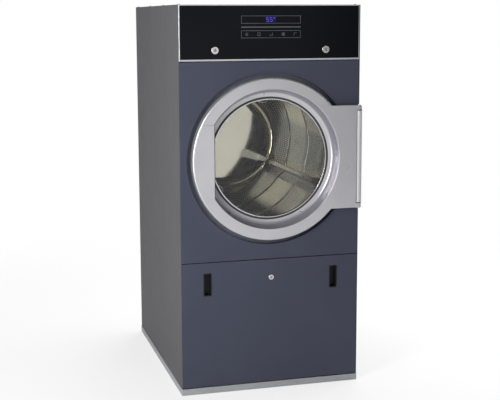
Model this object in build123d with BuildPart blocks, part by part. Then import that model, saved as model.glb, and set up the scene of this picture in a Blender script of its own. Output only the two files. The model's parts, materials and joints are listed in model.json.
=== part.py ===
"""Front-loading tumble dryer for a laundry room, as separate pieces at their real size.

Millimetres, +Z up. The front of the cabinet looks along -Y and the origin lies on the floor,
under the middle of the cabinet.
"""
import os
from math import hypot

from build123d import *

# Cabinet
WIDTH = 810.0
DEPTH = 1040.0
HEIGHT = 1694.0
SHEET = 1.5
SIDE_FLANGE = 25.0
FOLD_RADIUS = 3.0
RETURN_DEPTH = 24.0
SIDE_GAP = 0.7
PANEL_GAP = 3.5
FASCIA_HEIGHT = 236.0

# Base pan, whose walls show as a pale plinth
PLINTH_HEIGHT = 28.5
PLINTH_PROUD = 2.0
PAN_SHEET = 3.0

# Running and seating clearances
RUNNING_FIT = 0.05
SEAT_GAP = 0.3
SWING_GAP = 0.5

# Door, turned about the drum's axis
RECESS_MARGIN = 30.0
DOOR_MARGIN = 51.0
SEAM_MARGIN = 65.5
DOOR_GAP = 20.5
DOOR_WALL = 3.0
DOOR_PROUD = 25.0
DOOR_INSET = 11.0
FACE_WIDTH = 50.5
CONE_DEPTH = 48.0
CONE_RUN = 16.0
BAND_WIDTH = 18.0
BAND_RISE = 3.0
SEAT_DEPTH = 16.0
DOOR_EDGE_RADIUS = 7.0
FACE_INNER_EDGE_RADIUS = 2.0
DOOR_BACK_SHEET = 2.5
GASKET_INSET = 12.0
GASKET_WIDTH = 19.0
GLASS_THICKNESS = 6.0
GLASS_GRIP = 4.0
SEAL_LIP = 4.5
SEAL_DEPTH = 14.0
TRIM_BEAD = 2.2
GLASS_TRIM_WIDTH = 5.0

# Handle plate and hinge of the door
HANDLE_HALF_HEIGHT = 157.0
HANDLE_SHEET = 3.0
HANDLE_LIP = 16.0
HANDLE_REACH = 45.0
HINGE_HALF_HEIGHT = 227.0
HINGE_SHEET = 4.0
HINGE_RIM = 14.0
HINGE_INSET = 7.0
HINGE_RADIUS = 14.0
KNUCKLE_HEIGHT = 20.0
HINGE_STANDOFF = 3.0
POST_FOOT_LEFT = 14.0
PIN_RADIUS = 6.0
PIN_HEAD_RADIUS = 9.0
PIN_HEAD_HEIGHT = 3.0

# Magnetic catch
CATCH_WIDTH = 8.0
CATCH_HEIGHT = 60.0
MAGNET_THICKNESS = 6.0

# Door surround and felt seal
SURROUND_SHEET = 3.0
SURROUND_LIP = 1.5
THROAT_GAP = 29.0
THROAT_DEPTH = 56.0
FELT_THICKNESS = 6.4
FELT_LENGTH = 10.0

# Drum
DRUM_SHEET = 1.5
DRUM_SETBACK = 80.0
DRIVE_SPACE = 270.0
DRUM_LIP = 16.0
DRUM_BACK_RISE = 12.0
DRUM_BACK_RADIUS = 244.0
LIFTER_COUNT = 3
LIFTER_ANGLE = -27.5
LIFTER_HEIGHT = 135.0
LIFTER_BASE = 112.0
LIFTER_TOP = 24.0
LIFTER_TOP_RADIUS = 8.0
LIFTER_END_GAP = 2.0

# Spider, shaft and bearings of the drum
SPIDER_THICKNESS = 12.0
SPIDER_ARM_WIDTH = 54.0
SPIDER_HUB_RADIUS = 58.0
SPIDER_HUB_LENGTH = 30.0
SHAFT_RADIUS = 20.0
SHAFT_STUB = 14.0
BEARING_RADIUS = 40.0
BEARING_WIDTH = 18.0
HOUSING_FLANGE_RADIUS = 110.0
HOUSING_FLANGE = 14.0
HOUSING_BOSS_RADIUS = 58.0
HOUSING_LENGTH = 112.0
HOUSING_RIBS = 6
HOUSING_RIB_WIDTH = 8.0

# Bulkheads and air casing round the drum
BULKHEAD_SHEET = 2.0
FRONT_BULKHEAD_SETBACK = 58.0
REAR_BULKHEAD_SETBACK = 36.0
BULKHEAD_LIFT = 8.5
BLOWER_HEADROOM = 40.0
CASING_GAP = 9.5
CASING_SHEET = 1.0
AIR_GAP = 16.5
CASING_OUTLET_WIDTH = 440.0
CASING_OUTLET_LENGTH = 500.0

# Belt drive
PULLEY_RADIUS = 210.0
PULLEY_WIDTH = 25.0
PULLEY_RIM = 14.0
PULLEY_WEB = 8.0
PULLEY_HUB_RADIUS = 42.0
PULLEY_FLANGE = 4.0
PULLEY_FLANGE_WIDTH = 3.0
PULLEY_WINDOWS = 5
PULLEY_WINDOW_RADIUS = 48.0
PULLEY_GAP = 25.0
MOTOR_PULLEY_RADIUS = 30.0
BELT_THICKNESS = 3.5
MOTOR_X = -270.0
MOTOR_DROP = 327.0
MOTOR_RADIUS = 62.0
MOTOR_LENGTH = 110.0
MOTOR_FIN_HEIGHT = 8.0
MOTOR_FIN_WIDTH = 3.0
MOTOR_FINS = 14
MOTOR_FOOT = 180.0
MOTOR_FOOT_SHEET = 6.0
MOTOR_SHAFT_RADIUS = 12.0
MOTOR_SHAFT_SEAT = 40.0

# Heater
HEATER_WIDTH = 520.0
HEATER_HEIGHT = 170.0
HEATER_RISE = 328.0
HEATER_DEPTH = 140.0
ELEMENT_RADIUS = 5.0
ELEMENT_ROWS = 2
ELEMENT_COLUMNS = 3
ELEMENT_PITCH = 40.0

# Blower, whose axis runs across the cabinet
BLOWER_SETBACK = 220.0
BLOWER_HEIGHT = 230.0
BLOWER_WIDTH = 160.0
BLOWER_SHEET = 2.0
SCROLL_START = 168.0
SCROLL_STEP = 16.0
OUTLET_HEIGHT = 160.0
INLET_RADIUS = 110.0
WHEEL_RADIUS = 150.0
WHEEL_WIDTH = 90.0
WHEEL_SHEET = 3.0
WHEEL_EYE_RADIUS = 105.0
WHEEL_HUB_RADIUS = 26.0
BLADE_COUNT = 16
BLADE_THICKNESS = 3.0
BLADE_SWEEP = 22.0
BLOWER_SHAFT_RADIUS = 10.0
BLOWER_SHAFT_SEAT = 40.0
BLOWER_MOTOR_RADIUS = 60.0
BLOWER_MOTOR_LENGTH = 130.0
BLOWER_FOOT = 90.0

# Rear of the cabinet
EXHAUST_RADIUS = 100.0
EXHAUST_WALL = 2.0
EXHAUST_LENGTH = 62.0
EXHAUST_FLANGE = 240.0
COVER_WIDTH = 600.0
COVER_GAP = 62.0
COVER_OVERLAP = 20.0
COVER_RISE = 213.0
LOUVRE_WIDTH = 76.0
LOUVRE_HEIGHT = 7.0
LOUVRE_COLUMNS = 5
LOUVRE_ROWS = 8
LOUVRE_PITCH_X = 96.0
LOUVRE_PITCH_Z = 17.0
GLAND_X = -300.0
GLAND_DROP = 134.0
GLAND_BORE = 7.0
GLAND_BODY = 11.0
GLAND_NUT = 15.0
GLAND_NUT_LENGTH = 12.0
GLAND_LENGTH = 34.0
SCREW_RADIUS = 5.0
SCREW_HEIGHT = 3.0
SCREW_INSET = 12.0
SCREW_TAPER = 20.0
TOP_SCREW_ROWS = 4
COVER_SCREW_ROWS = 3

# Control fascia, hinged along its top edge
FASCIA_RETURN = 16.0
FASCIA_BORDER = 4.5
FASCIA_SILL = 7.0
FASCIA_BACKING = 3.0
FASCIA_OVERLAP = 1.5
PIVOT_SETBACK = 11.5
PIVOT_DROP = 7.0
PIVOT_RADIUS = 3.0
PIVOT_HEAD_RADIUS = 4.5
PIVOT_HEAD_LENGTH = 2.0
BOARD_WIDTH = 320.0
BOARD_HEIGHT = 120.0
BOARD_DEPTH = 24.0
BOARD_DROP = 94.0
ELECTRICS_WIDTH = 700.0
ELECTRICS_HEIGHT = 150.0
ELECTRICS_OVERHANG = 8.0
ELECTRICS_DEPTH = 220.0

# Cam locks of the fascia and of the drawer
FASCIA_LOCK_X = 247.0
FASCIA_LOCK_RISE = 45.0
FASCIA_BEZEL_RADIUS = 16.0
DRAWER_LOCK_DROP = 83.5
DRAWER_BEZEL_RADIUS = 12.0
BEZEL_PROUD = 3.0
LOCK_BARREL_RADIUS = 9.5
LOCK_BARREL_LENGTH = 21.0
LOCK_PLUG_RADIUS = 7.0
KEY_SLOT_WIDTH = 2.2
KEY_SLOT_LENGTH = 9.0
KEY_SLOT_DEPTH = 4.0
CAM_LENGTH = 60.0
CAM_WIDTH = 15.0
CAM_THICKNESS = 3.0
CAM_GAP = 2.0

# Lint drawer behind the lower front panel
DRAWER_GAP = 88.0
DRAWER_DROP = 231.5
DRAWER_DEPTH = 130.0
DRAWER_LIP = 15.0
RUNNER_WIDTH = 20.0
RUNNER_HEIGHT = 18.0
RUNNER_LIFT = 70.0
RAIL_WIDTH = 46.0
RAIL_GAP = 5.5
RAIL_OVERRUN = 15.0
MESH_SHEET = 1.5
MESH_COLUMNS = 10
MESH_ROWS = 7
MESH_BAR = 12.0
PULL_X = 288.5
PULL_DROP = 100.0
PULL_WIDTH = 36.0
PULL_TALL = 101.0
PULL_DEPTH = 26.0
PULL_WALL = 2.0
PULL_RIM = 2.0
PULL_RIM_PROUD = 1.0
PULL_CORNER = 3.0

# Crossbar at the seam, which the drawer's cam turns up behind
CROSSBAR_HEIGHT = 40.0
CROSSBAR_DEPTH = 30.0

# Places worked out from the sizes above
FRONT = -DEPTH / 2
BACK = DEPTH / 2
SIDE = WIDTH / 2
INNER_SIDE = SIDE - SHEET
FRONT_PANEL_WIDTH = 2 * (INNER_SIDE - SIDE_GAP)
FLANGE_Y = FRONT + RETURN_DEPTH + SIDE_GAP
FASCIA_LOW = HEIGHT - FASCIA_HEIGHT
RECESS_RADIUS = SIDE - RECESS_MARGIN
DOOR_RADIUS = RECESS_RADIUS - DOOR_GAP
DOOR_HEIGHT = FASCIA_LOW - DOOR_MARGIN - RECESS_RADIUS
SEAM_HEIGHT = DOOR_HEIGHT - RECESS_RADIUS - SEAM_MARGIN
FACE_Y = FRONT - DOOR_PROUD
FACE_INNER_RADIUS = DOOR_RADIUS - FACE_WIDTH
CONE_RADIUS = FACE_INNER_RADIUS - CONE_RUN
CONE_Y = FACE_Y + CONE_DEPTH
SEAT_RADIUS = CONE_RADIUS - BAND_WIDTH
SEAT_Y = CONE_Y + BAND_RISE
SKIRT_Y = FRONT + DOOR_INSET
DOOR_BACK_Y = SKIRT_Y + DOOR_BACK_SHEET
GASKET_OUTER_RADIUS = DOOR_RADIUS - GASKET_INSET
GASKET_INNER_RADIUS = GASKET_OUTER_RADIUS - GASKET_WIDTH
HANDLE_EDGE = FACE_INNER_RADIUS - HANDLE_REACH
HINGE_X = SIDE - HINGE_INSET
HINGE_Y = FRONT - HINGE_STANDOFF - HINGE_RADIUS
SURROUND_Y = FRONT + RETURN_DEPTH
SURROUND_RADIUS = RECESS_RADIUS + SHEET + SURROUND_LIP
THROAT_RADIUS = SEAT_RADIUS + DOOR_WALL + THROAT_GAP
THROAT_OUTER = THROAT_RADIUS + SURROUND_SHEET
FRONT_BULKHEAD_Y = FRONT + FRONT_BULKHEAD_SETBACK
CASING_RADIUS = INNER_SIDE - CASING_GAP
DRUM_OUTER = CASING_RADIUS - CASING_SHEET - AIR_GAP
DRUM_RADIUS = DRUM_OUTER - DRUM_SHEET
DRUM_FRONT = FRONT + DRUM_SETBACK
DRUM_BACK = BACK - DRIVE_SPACE
DRUM_DEPTH = DRUM_BACK - DRUM_FRONT
REAR_BULKHEAD_Y = DRUM_BACK + REAR_BULKHEAD_SETBACK
REAR_FACE = REAR_BULKHEAD_Y + BULKHEAD_SHEET
HOUSING_END = REAR_FACE + HOUSING_LENGTH
PULLEY_Y = HOUSING_END + PULLEY_GAP
PULLEY_END = PULLEY_Y + PULLEY_WIDTH
MOTOR_AXIS = (MOTOR_X, DOOR_HEIGHT - MOTOR_DROP)
HEATER_CENTRE = DOOR_HEIGHT + HEATER_RISE
GLAND_HEIGHT = HEIGHT - GLAND_DROP
BLOWER_Y = BACK - BLOWER_SETBACK
SCROLL_TOP = SCROLL_START + 2.5 * SCROLL_STEP
OUTLET_CENTRE = BLOWER_HEIGHT + SCROLL_TOP - OUTLET_HEIGHT / 2
COVER_LOW = OUTLET_CENTRE + EXHAUST_FLANGE / 2 + COVER_GAP
COVER_HEIGHT = DOOR_HEIGHT + COVER_RISE - COVER_LOW
COVER_CENTRE = COVER_LOW + COVER_HEIGHT / 2
BULKHEAD_LOW = SEAM_HEIGHT + BULKHEAD_LIFT
REAR_BULKHEAD_LOW = BLOWER_HEIGHT + SCROLL_TOP + BLOWER_SHEET + BLOWER_HEADROOM
BULKHEAD_HIGH = FASCIA_LOW - PANEL_GAP
PIVOT_Y = FRONT + PIVOT_SETBACK
PIVOT_HEIGHT = HEIGHT - PIVOT_DROP
TOP_PANEL_FRONT = PIVOT_Y + hypot(FASCIA_RETURN - PIVOT_SETBACK, PIVOT_DROP) + SWING_GAP
LOCK_HOLE_RADIUS = LOCK_BARREL_RADIUS + SEAT_GAP
FASCIA_LOCK_HEIGHT = FASCIA_LOW + FASCIA_LOCK_RISE
DRAWER_LOCK_HEIGHT = SEAM_HEIGHT - DRAWER_LOCK_DROP
PULL_HEIGHT = SEAM_HEIGHT - PULL_DROP

DRUM_AXIS = Axis((0, 0, DOOR_HEIGHT), (0, 1, 0))
RADIAL = Plane.XY.offset(DOOR_HEIGHT)


def facing(y):
    """Plane across the cabinet at depth y: its x is the part's X and its y is the part's Z."""
    return Plane.XZ.offset(-y)


def disc(radius, front, back, mode=Mode.ADD):
    """Add or cut a disc about the drum's axis, from depth front to depth back."""
    post(radius, 0, DOOR_HEIGHT, front, back, mode)


def ring(inner, outer, front, back):
    """Add a plain ring about the drum's axis, from depth front to depth back."""
    with BuildSketch(facing(front)) as section:
        with Locations((0, DOOR_HEIGHT)):
            Circle(outer)
            Circle(inner, mode=Mode.SUBTRACT)
    extrude(section.sketch, amount=front - back)


def post(radius, x, z, front, back, mode=Mode.ADD):
    """Add or cut a round bar along Y at x and z, from depth front to depth back."""
    with BuildSketch(facing(front)) as section:
        with Locations((x, z)):
            Circle(radius)
    extrude(section.sketch, amount=front - back, mode=mode)


def turned(points):
    """Turn a closed outline of (radius, y) points about the drum's axis."""
    with BuildSketch(RADIAL) as section:
        with BuildLine():
            Polyline(*points, close=True)
        make_face()
    revolve(section.sketch, axis=DRUM_AXIS)


def lifter_ridge(corner):
    """Whether a corner of the lifters' section lies on a ridge, well inside the drum's shell."""
    return hypot(corner.X, corner.Y - DOOR_HEIGHT) < DRUM_RADIUS - LIFTER_HEIGHT / 2


def folded_panel(low, high, depth):
    """Front panel from low to high, with its four edges folded back."""
    with BuildPart() as panel:
        with BuildSketch(facing(FRONT)):
            with Locations((0, (low + high) / 2)):
                Rectangle(FRONT_PANEL_WIDTH, high - low)
        extrude(amount=-depth)
        fillet(panel.edges().filter_by(Axis.Z).group_by(Axis.Y)[0], FOLD_RADIUS)
        with BuildSketch(facing(FRONT + SHEET)):
            with Locations((0, (low + high) / 2)):
                Rectangle(FRONT_PANEL_WIDTH - 2 * SHEET, high - low - 2 * SHEET)
        extrude(amount=SHEET - depth, mode=Mode.SUBTRACT)
    return panel.part


# Base pan: a tray whose floor stands on the ground
with BuildPart() as base_pan:
    with BuildSketch():
        RectangleRounded(WIDTH + 2 * PLINTH_PROUD, DEPTH + 2 * PLINTH_PROUD, FOLD_RADIUS)
    extrude(amount=PLINTH_HEIGHT)
    with BuildSketch(Plane.XY.offset(PAN_SHEET)):
        Rectangle(WIDTH + 2 * PLINTH_PROUD - 2 * PAN_SHEET, DEPTH + 2 * PLINTH_PROUD - 2 * PAN_SHEET)
    extrude(amount=PLINTH_HEIGHT - PAN_SHEET, mode=Mode.SUBTRACT)

# Side panels: flanged sheets that reach forward past their front flange, beside the front panels
SIDE_TOP = HEIGHT - SHEET
SIDE_LENGTH = BACK - SHEET - FLANGE_Y
SIDE_CENTRE = ((FLANGE_Y + BACK - SHEET) / 2, (PLINTH_HEIGHT + SIDE_TOP) / 2)
with BuildPart() as side_panel_right:
    with BuildSketch(Plane.YZ.offset(SIDE - SIDE_FLANGE)):
        with Locations(SIDE_CENTRE):
            Rectangle(SIDE_LENGTH, SIDE_TOP - PLINTH_HEIGHT)
    extrude(amount=SIDE_FLANGE)
    with BuildSketch(Plane.YZ.offset(SIDE - SIDE_FLANGE)):
        with Locations(SIDE_CENTRE):
            Rectangle(SIDE_LENGTH - 2 * SHEET, SIDE_TOP - PLINTH_HEIGHT - 2 * SHEET)
    extrude(amount=SIDE_FLANGE - SHEET, mode=Mode.SUBTRACT)
    with BuildSketch(Plane.YZ.offset(INNER_SIDE)):
        with Locations(((FRONT + FLANGE_Y) / 2, (PLINTH_HEIGHT + SIDE_TOP) / 2)):
            Rectangle(FLANGE_Y - FRONT, SIDE_TOP - PLINTH_HEIGHT)
        with Locations(((FRONT + TOP_PANEL_FRONT) / 2, (SIDE_TOP + HEIGHT) / 2)):
            Rectangle(TOP_PANEL_FRONT - FRONT, HEIGHT - SIDE_TOP)
    extrude(amount=SHEET)

with BuildPart() as side_panel_left:
    mirror(side_panel_right.part, about=Plane.YZ)

# Upper front panel with the round door recess and its turned-in collar
with BuildPart() as front_panel:
    add(folded_panel(SEAM_HEIGHT, FASCIA_LOW - PANEL_GAP, RETURN_DEPTH))
    disc(RECESS_RADIUS + SHEET, FRONT, FRONT + RETURN_DEPTH)
    disc(RECESS_RADIUS, FRONT, FRONT + RETURN_DEPTH, mode=Mode.SUBTRACT)

# Crossbar behind the seam, an inverted channel between the side panels
with BuildPart() as front_crossbar:
    with BuildSketch(Plane.YZ.offset(-INNER_SIDE)):
        with Locations((FLANGE_Y + SHEET + CROSSBAR_DEPTH / 2, SEAM_HEIGHT - CROSSBAR_HEIGHT / 2)):
            Rectangle(CROSSBAR_DEPTH, CROSSBAR_HEIGHT)
        with Locations((FLANGE_Y + SHEET + CROSSBAR_DEPTH / 2, SEAM_HEIGHT - CROSSBAR_HEIGHT / 2 - SHEET)):
            Rectangle(CROSSBAR_DEPTH - 2 * SHEET, CROSSBAR_HEIGHT, mode=Mode.SUBTRACT)
    extrude(amount=2 * INNER_SIDE)

# Top panel, lying on the side panels' upper flanges
with BuildPart() as top_panel:
    with BuildSketch(Plane.XY.offset(SIDE_TOP)):
        with Locations((0, (TOP_PANEL_FRONT + BACK) / 2)):
            Rectangle(WIDTH, BACK - TOP_PANEL_FRONT)
    extrude(amount=SHEET)

# Rear panel with the drive opening, the air louvres and the holes for exhaust and gland
REAR_LOW = PLINTH_HEIGHT
with BuildPart() as rear_panel:
    with BuildSketch(facing(BACK)):
        with Locations((0, (REAR_LOW + SIDE_TOP) / 2)):
            Rectangle(WIDTH, SIDE_TOP - REAR_LOW)
        with Locations((0, COVER_CENTRE)):
            Rectangle(COVER_WIDTH - 2 * COVER_OVERLAP, COVER_HEIGHT - 2 * COVER_OVERLAP, mode=Mode.SUBTRACT)
        with Locations((0, HEATER_CENTRE)):
            with GridLocations(LOUVRE_PITCH_X, LOUVRE_PITCH_Z, LOUVRE_COLUMNS, LOUVRE_ROWS):
                Rectangle(LOUVRE_WIDTH, LOUVRE_HEIGHT, mode=Mode.SUBTRACT)
        with Locations((0, OUTLET_CENTRE)):
            Circle(EXHAUST_RADIUS - EXHAUST_WALL, mode=Mode.SUBTRACT)
        with Locations((GLAND_X, GLAND_HEIGHT)):
            Circle(GLAND_BODY + SEAT_GAP, mode=Mode.SUBTRACT)
    extrude(amount=SHEET)

# Removable cover over the belt drive, seated on the outside of the rear panel
with BuildPart() as rear_cover:
    with BuildSketch(facing(BACK)):
        with Locations((0, COVER_CENTRE)):
            RectangleRounded(COVER_WIDTH, COVER_HEIGHT, FOLD_RADIUS)
    extrude(amount=-SHEET)

# Exhaust collar for a duct, on the outside of the rear panel
with BuildPart() as exhaust_collar:
    with BuildSketch(facing(BACK)):
        with Locations((0, OUTLET_CENTRE)):
            RectangleRounded(EXHAUST_FLANGE, EXHAUST_FLANGE, FOLD_RADIUS)
            Circle(EXHAUST_RADIUS - EXHAUST_WALL, mode=Mode.SUBTRACT)
    extrude(amount=-SHEET)
    with BuildSketch(facing(BACK + SHEET)):
        with Locations((0, OUTLET_CENTRE)):
            Circle(EXHAUST_RADIUS)
            Circle(EXHAUST_RADIUS - EXHAUST_WALL, mode=Mode.SUBTRACT)
    extrude(amount=-EXHAUST_LENGTH)

# Cable gland in the rear panel: a body through the sheet and a hexagonal nut outside
with BuildPart() as cable_gland:
    with BuildSketch(facing(BACK)):
        with Locations((GLAND_X, GLAND_HEIGHT)):
            RegularPolygon(GLAND_NUT, 6)
    extrude(amount=-GLAND_NUT_LENGTH)
    with BuildSketch(facing(BACK + GLAND_LENGTH / 2)):
        with Locations((GLAND_X, GLAND_HEIGHT)):
            Circle(GLAND_BODY)
    extrude(amount=GLAND_LENGTH)
    with BuildSketch(facing(BACK + GLAND_LENGTH / 2)):
        with Locations((GLAND_X, GLAND_HEIGHT)):
            Circle(GLAND_BORE)
    extrude(amount=GLAND_LENGTH, mode=Mode.SUBTRACT)

# Screws that hold the top panel and the rear cover
TOP_SCREW_PITCH = (BACK - TOP_PANEL_FRONT - 2 * SCREW_INSET) / (TOP_SCREW_ROWS - 1)
COVER_SCREW_PITCH = (COVER_HEIGHT - 2 * SCREW_INSET) / (COVER_SCREW_ROWS - 1)
with BuildPart() as cover_screws:
    with BuildSketch(Plane.XY.offset(HEIGHT)):
        with Locations((0, (TOP_PANEL_FRONT + BACK) / 2)):
            with GridLocations(WIDTH - 2 * SCREW_INSET, TOP_SCREW_PITCH, 2, TOP_SCREW_ROWS):
                Circle(SCREW_RADIUS)
    extrude(amount=SCREW_HEIGHT, taper=SCREW_TAPER)
    with BuildSketch(facing(BACK + SHEET)):
        with Locations((0, COVER_CENTRE)):
            with GridLocations(COVER_WIDTH - 2 * SCREW_INSET, COVER_SCREW_PITCH, 2, COVER_SCREW_ROWS):
                Circle(SCREW_RADIUS)
    extrude(amount=-SCREW_HEIGHT, taper=SCREW_TAPER)

# Door ring: flat face, rolled outer edge, deep cone and a bore that seats the glass
with BuildPart() as door_ring:
    turned(
        [
            (DOOR_RADIUS, SKIRT_Y),
            (DOOR_RADIUS, FACE_Y),
            (FACE_INNER_RADIUS, FACE_Y),
            (CONE_RADIUS, CONE_Y),
            (SEAT_RADIUS, SEAT_Y),
            (SEAT_RADIUS, SEAT_Y + SEAT_DEPTH),
            (SEAT_RADIUS + DOOR_WALL, SEAT_Y + SEAT_DEPTH),
            (SEAT_RADIUS + DOOR_WALL, SEAT_Y + DOOR_WALL),
            (CONE_RADIUS + DOOR_WALL, CONE_Y + DOOR_WALL),
            (FACE_INNER_RADIUS + DOOR_WALL, FACE_Y + DOOR_WALL),
            (DOOR_RADIUS - DOOR_WALL, FACE_Y + DOOR_WALL),
            (DOOR_RADIUS - DOOR_WALL, SKIRT_Y),
        ]
    )
    fillet(door_ring.edges().group_by(Axis.Y)[0].sort_by(SortBy.LENGTH)[-1], DOOR_EDGE_RADIUS)
    fillet(door_ring.edges().group_by(Axis.Y)[0].sort_by(SortBy.LENGTH)[0], FACE_INNER_EDGE_RADIUS)

# Back of the door: a flat ring that closes the skirt and leaves room for the cone
BACK_INNER_RADIUS = FACE_INNER_RADIUS
with BuildPart() as door_back:
    ring(BACK_INNER_RADIUS, DOOR_RADIUS, SKIRT_Y, DOOR_BACK_Y)

# Rubber gasket between the door's back and the surround
with BuildPart() as door_gasket:
    ring(GASKET_INNER_RADIUS, GASKET_OUTER_RADIUS, DOOR_BACK_Y, SURROUND_Y - SEAT_GAP)
    fillet(door_gasket.edges().group_by(Axis.Y)[-1], (SURROUND_Y - DOOR_BACK_Y) / 4)

# Glass held in a rubber channel, with a bright bead in front
GLASS_RADIUS = SEAT_RADIUS - SEAL_LIP
GLASS_Y = SEAT_Y + (SEAL_DEPTH - GLASS_THICKNESS) / 2
SEAL_INNER_RADIUS = GLASS_RADIUS - GLASS_GRIP
with BuildPart() as door_glass:
    disc(GLASS_RADIUS, GLASS_Y, GLASS_Y + GLASS_THICKNESS)

with BuildPart() as glass_seal:
    ring(SEAL_INNER_RADIUS, SEAT_RADIUS, SEAT_Y, SEAT_Y + SEAL_DEPTH)
    disc(GLASS_RADIUS, GLASS_Y, GLASS_Y + GLASS_THICKNESS, mode=Mode.SUBTRACT)

with BuildPart() as glass_trim:
    ring(SEAL_INNER_RADIUS - GLASS_TRIM_WIDTH, SEAL_INNER_RADIUS, SEAT_Y - TRIM_BEAD, GLASS_Y)
    chamfer(glass_trim.edges().group_by(Axis.Y)[0], TRIM_BEAD / 2)

# Handle plate: a segment over the left of the ring, its free edge turned back as a grip
with BuildPart() as handle_plate:
    with BuildSketch(facing(FACE_Y)):
        with Locations((0, DOOR_HEIGHT)):
            Circle(DOOR_RADIUS - DOOR_EDGE_RADIUS)
        with Locations((-HANDLE_EDGE - DOOR_RADIUS / 2, DOOR_HEIGHT)):
            Rectangle(DOOR_RADIUS, 2 * HANDLE_HALF_HEIGHT, mode=Mode.INTERSECT)
    extrude(amount=HANDLE_SHEET)
    fillet(handle_plate.edges().group_by(Axis.Y)[0], HANDLE_SHEET / 3)
    GRIP_HALF = (FACE_INNER_RADIUS**2 - HANDLE_EDGE**2) ** 0.5 - 2 * HANDLE_LIP
    with BuildSketch(facing(FACE_Y)):
        with Locations((-HANDLE_EDGE - HANDLE_SHEET / 2, DOOR_HEIGHT)):
            Rectangle(HANDLE_SHEET, 2 * GRIP_HALF)
    extrude(amount=-HANDLE_LIP)

# Hinge plate: a rimmed plate from the ring's face to the two end knuckles
PLATE_LOW = DOOR_HEIGHT - HINGE_HALF_HEIGHT
PLATE_HIGH = DOOR_HEIGHT + HINGE_HALF_HEIGHT
PLATE_RIGHT = HINGE_X - HINGE_RADIUS - SWING_GAP
with BuildPart() as hinge_plate:
    with BuildSketch(facing(FACE_Y)):
        with Locations((PLATE_RIGHT / 2, DOOR_HEIGHT)):
            Rectangle(PLATE_RIGHT, 2 * HINGE_HALF_HEIGHT)
        with Locations((0, DOOR_HEIGHT)):
            Circle(FACE_INNER_RADIUS + FACE_INNER_EDGE_RADIUS, mode=Mode.SUBTRACT)
    extrude(amount=HINGE_SHEET)
    with BuildSketch(facing(FACE_Y)):
        with Locations((PLATE_RIGHT / 2, DOOR_HEIGHT)):
            Rectangle(PLATE_RIGHT, 2 * HINGE_HALF_HEIGHT)
            Rectangle(PLATE_RIGHT, 2 * HINGE_HALF_HEIGHT - 2 * HINGE_SHEET, mode=Mode.SUBTRACT)
        with Locations((PLATE_RIGHT - HINGE_SHEET / 2, DOOR_HEIGHT)):
            Rectangle(HINGE_SHEET, 2 * HINGE_HALF_HEIGHT)
        with Locations((0, DOOR_HEIGHT)):
            Circle(DOOR_RADIUS + SEAT_GAP, mode=Mode.SUBTRACT)
    extrude(amount=-HINGE_RIM)
    for knuckle_low in (PLATE_LOW, PLATE_HIGH - KNUCKLE_HEIGHT):
        with BuildSketch(Plane.XY.offset(knuckle_low)):
            with Locations((HINGE_X, HINGE_Y)):
                Circle(HINGE_RADIUS)
            with Locations(((PLATE_RIGHT + HINGE_X) / 2, HINGE_Y - HINGE_RADIUS / 2)):
                Rectangle(HINGE_X - PLATE_RIGHT, HINGE_RADIUS)
        extrude(amount=KNUCKLE_HEIGHT)
    with BuildSketch(Plane.XY.offset(PLATE_LOW)):
        with Locations((HINGE_X, HINGE_Y)):
            Circle(PIN_RADIUS)
    extrude(amount=2 * HINGE_HALF_HEIGHT, mode=Mode.SUBTRACT)
    fillet(hinge_plate.edges().filter_by(Axis.X).group_by(Axis.Y)[0], HINGE_SHEET / 3)

# Hinge pin with a head at each end
with BuildPart() as hinge_pin:
    with BuildSketch(Plane.XY.offset(PLATE_LOW)):
        with Locations((HINGE_X, HINGE_Y)):
            Circle(PIN_RADIUS)
    extrude(amount=2 * HINGE_HALF_HEIGHT)
    for head_low in (PLATE_LOW - PIN_HEAD_HEIGHT, PLATE_HIGH):
        with BuildSketch(Plane.XY.offset(head_low)):
            with Locations((HINGE_X, HINGE_Y)):
                Circle(PIN_HEAD_RADIUS)
        extrude(amount=PIN_HEAD_HEIGHT)

# Fixed hinge post on the front panel, between the knuckles
POST_LOW = PLATE_LOW + KNUCKLE_HEIGHT + SEAT_GAP
POST_HIGH = PLATE_HIGH - KNUCKLE_HEIGHT - SEAT_GAP
with BuildPart() as hinge_post:
    with BuildSketch(Plane.XY.offset(POST_LOW)):
        with Locations((HINGE_X, HINGE_Y)):
            Circle(HINGE_RADIUS)
        with Locations((HINGE_X - POST_FOOT_LEFT / 2, (HINGE_Y + FRONT) / 2)):
            Rectangle(POST_FOOT_LEFT, FRONT - HINGE_Y)
        with Locations((HINGE_X, HINGE_Y)):
            Circle(PIN_RADIUS + RUNNING_FIT, mode=Mode.SUBTRACT)
    extrude(amount=POST_HIGH - POST_LOW)

# Magnet on the surround and its striker on the door's back
CATCH_X = -(GASKET_OUTER_RADIUS + DOOR_RADIUS) / 2
with BuildPart() as door_magnet:
    with BuildSketch(facing(SURROUND_Y - MAGNET_THICKNESS)):
        with Locations((CATCH_X, DOOR_HEIGHT)):
            Rectangle(CATCH_WIDTH, CATCH_HEIGHT)
    extrude(amount=-MAGNET_THICKNESS)

with BuildPart() as door_striker:
    with BuildSketch(facing(DOOR_BACK_Y)):
        with Locations((CATCH_X, DOOR_HEIGHT)):
            Rectangle(CATCH_WIDTH, CATCH_HEIGHT)
    extrude(amount=DOOR_BACK_Y - SURROUND_Y + MAGNET_THICKNESS + SEAT_GAP)

# Moulded surround: the flat the door seals on, and the throat that leads into the drum
with BuildPart() as door_surround:
    ring(THROAT_RADIUS, SURROUND_RADIUS, SURROUND_Y, SURROUND_Y + SURROUND_SHEET)
    ring(THROAT_RADIUS, THROAT_OUTER, SURROUND_Y, SURROUND_Y + THROAT_DEPTH)
    mouth = door_surround.edges().filter_by(GeomType.CIRCLE).group_by(Axis.Y)[0].sort_by(SortBy.LENGTH)[0]
    fillet(mouth, SURROUND_SHEET - SEAT_GAP)

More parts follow.
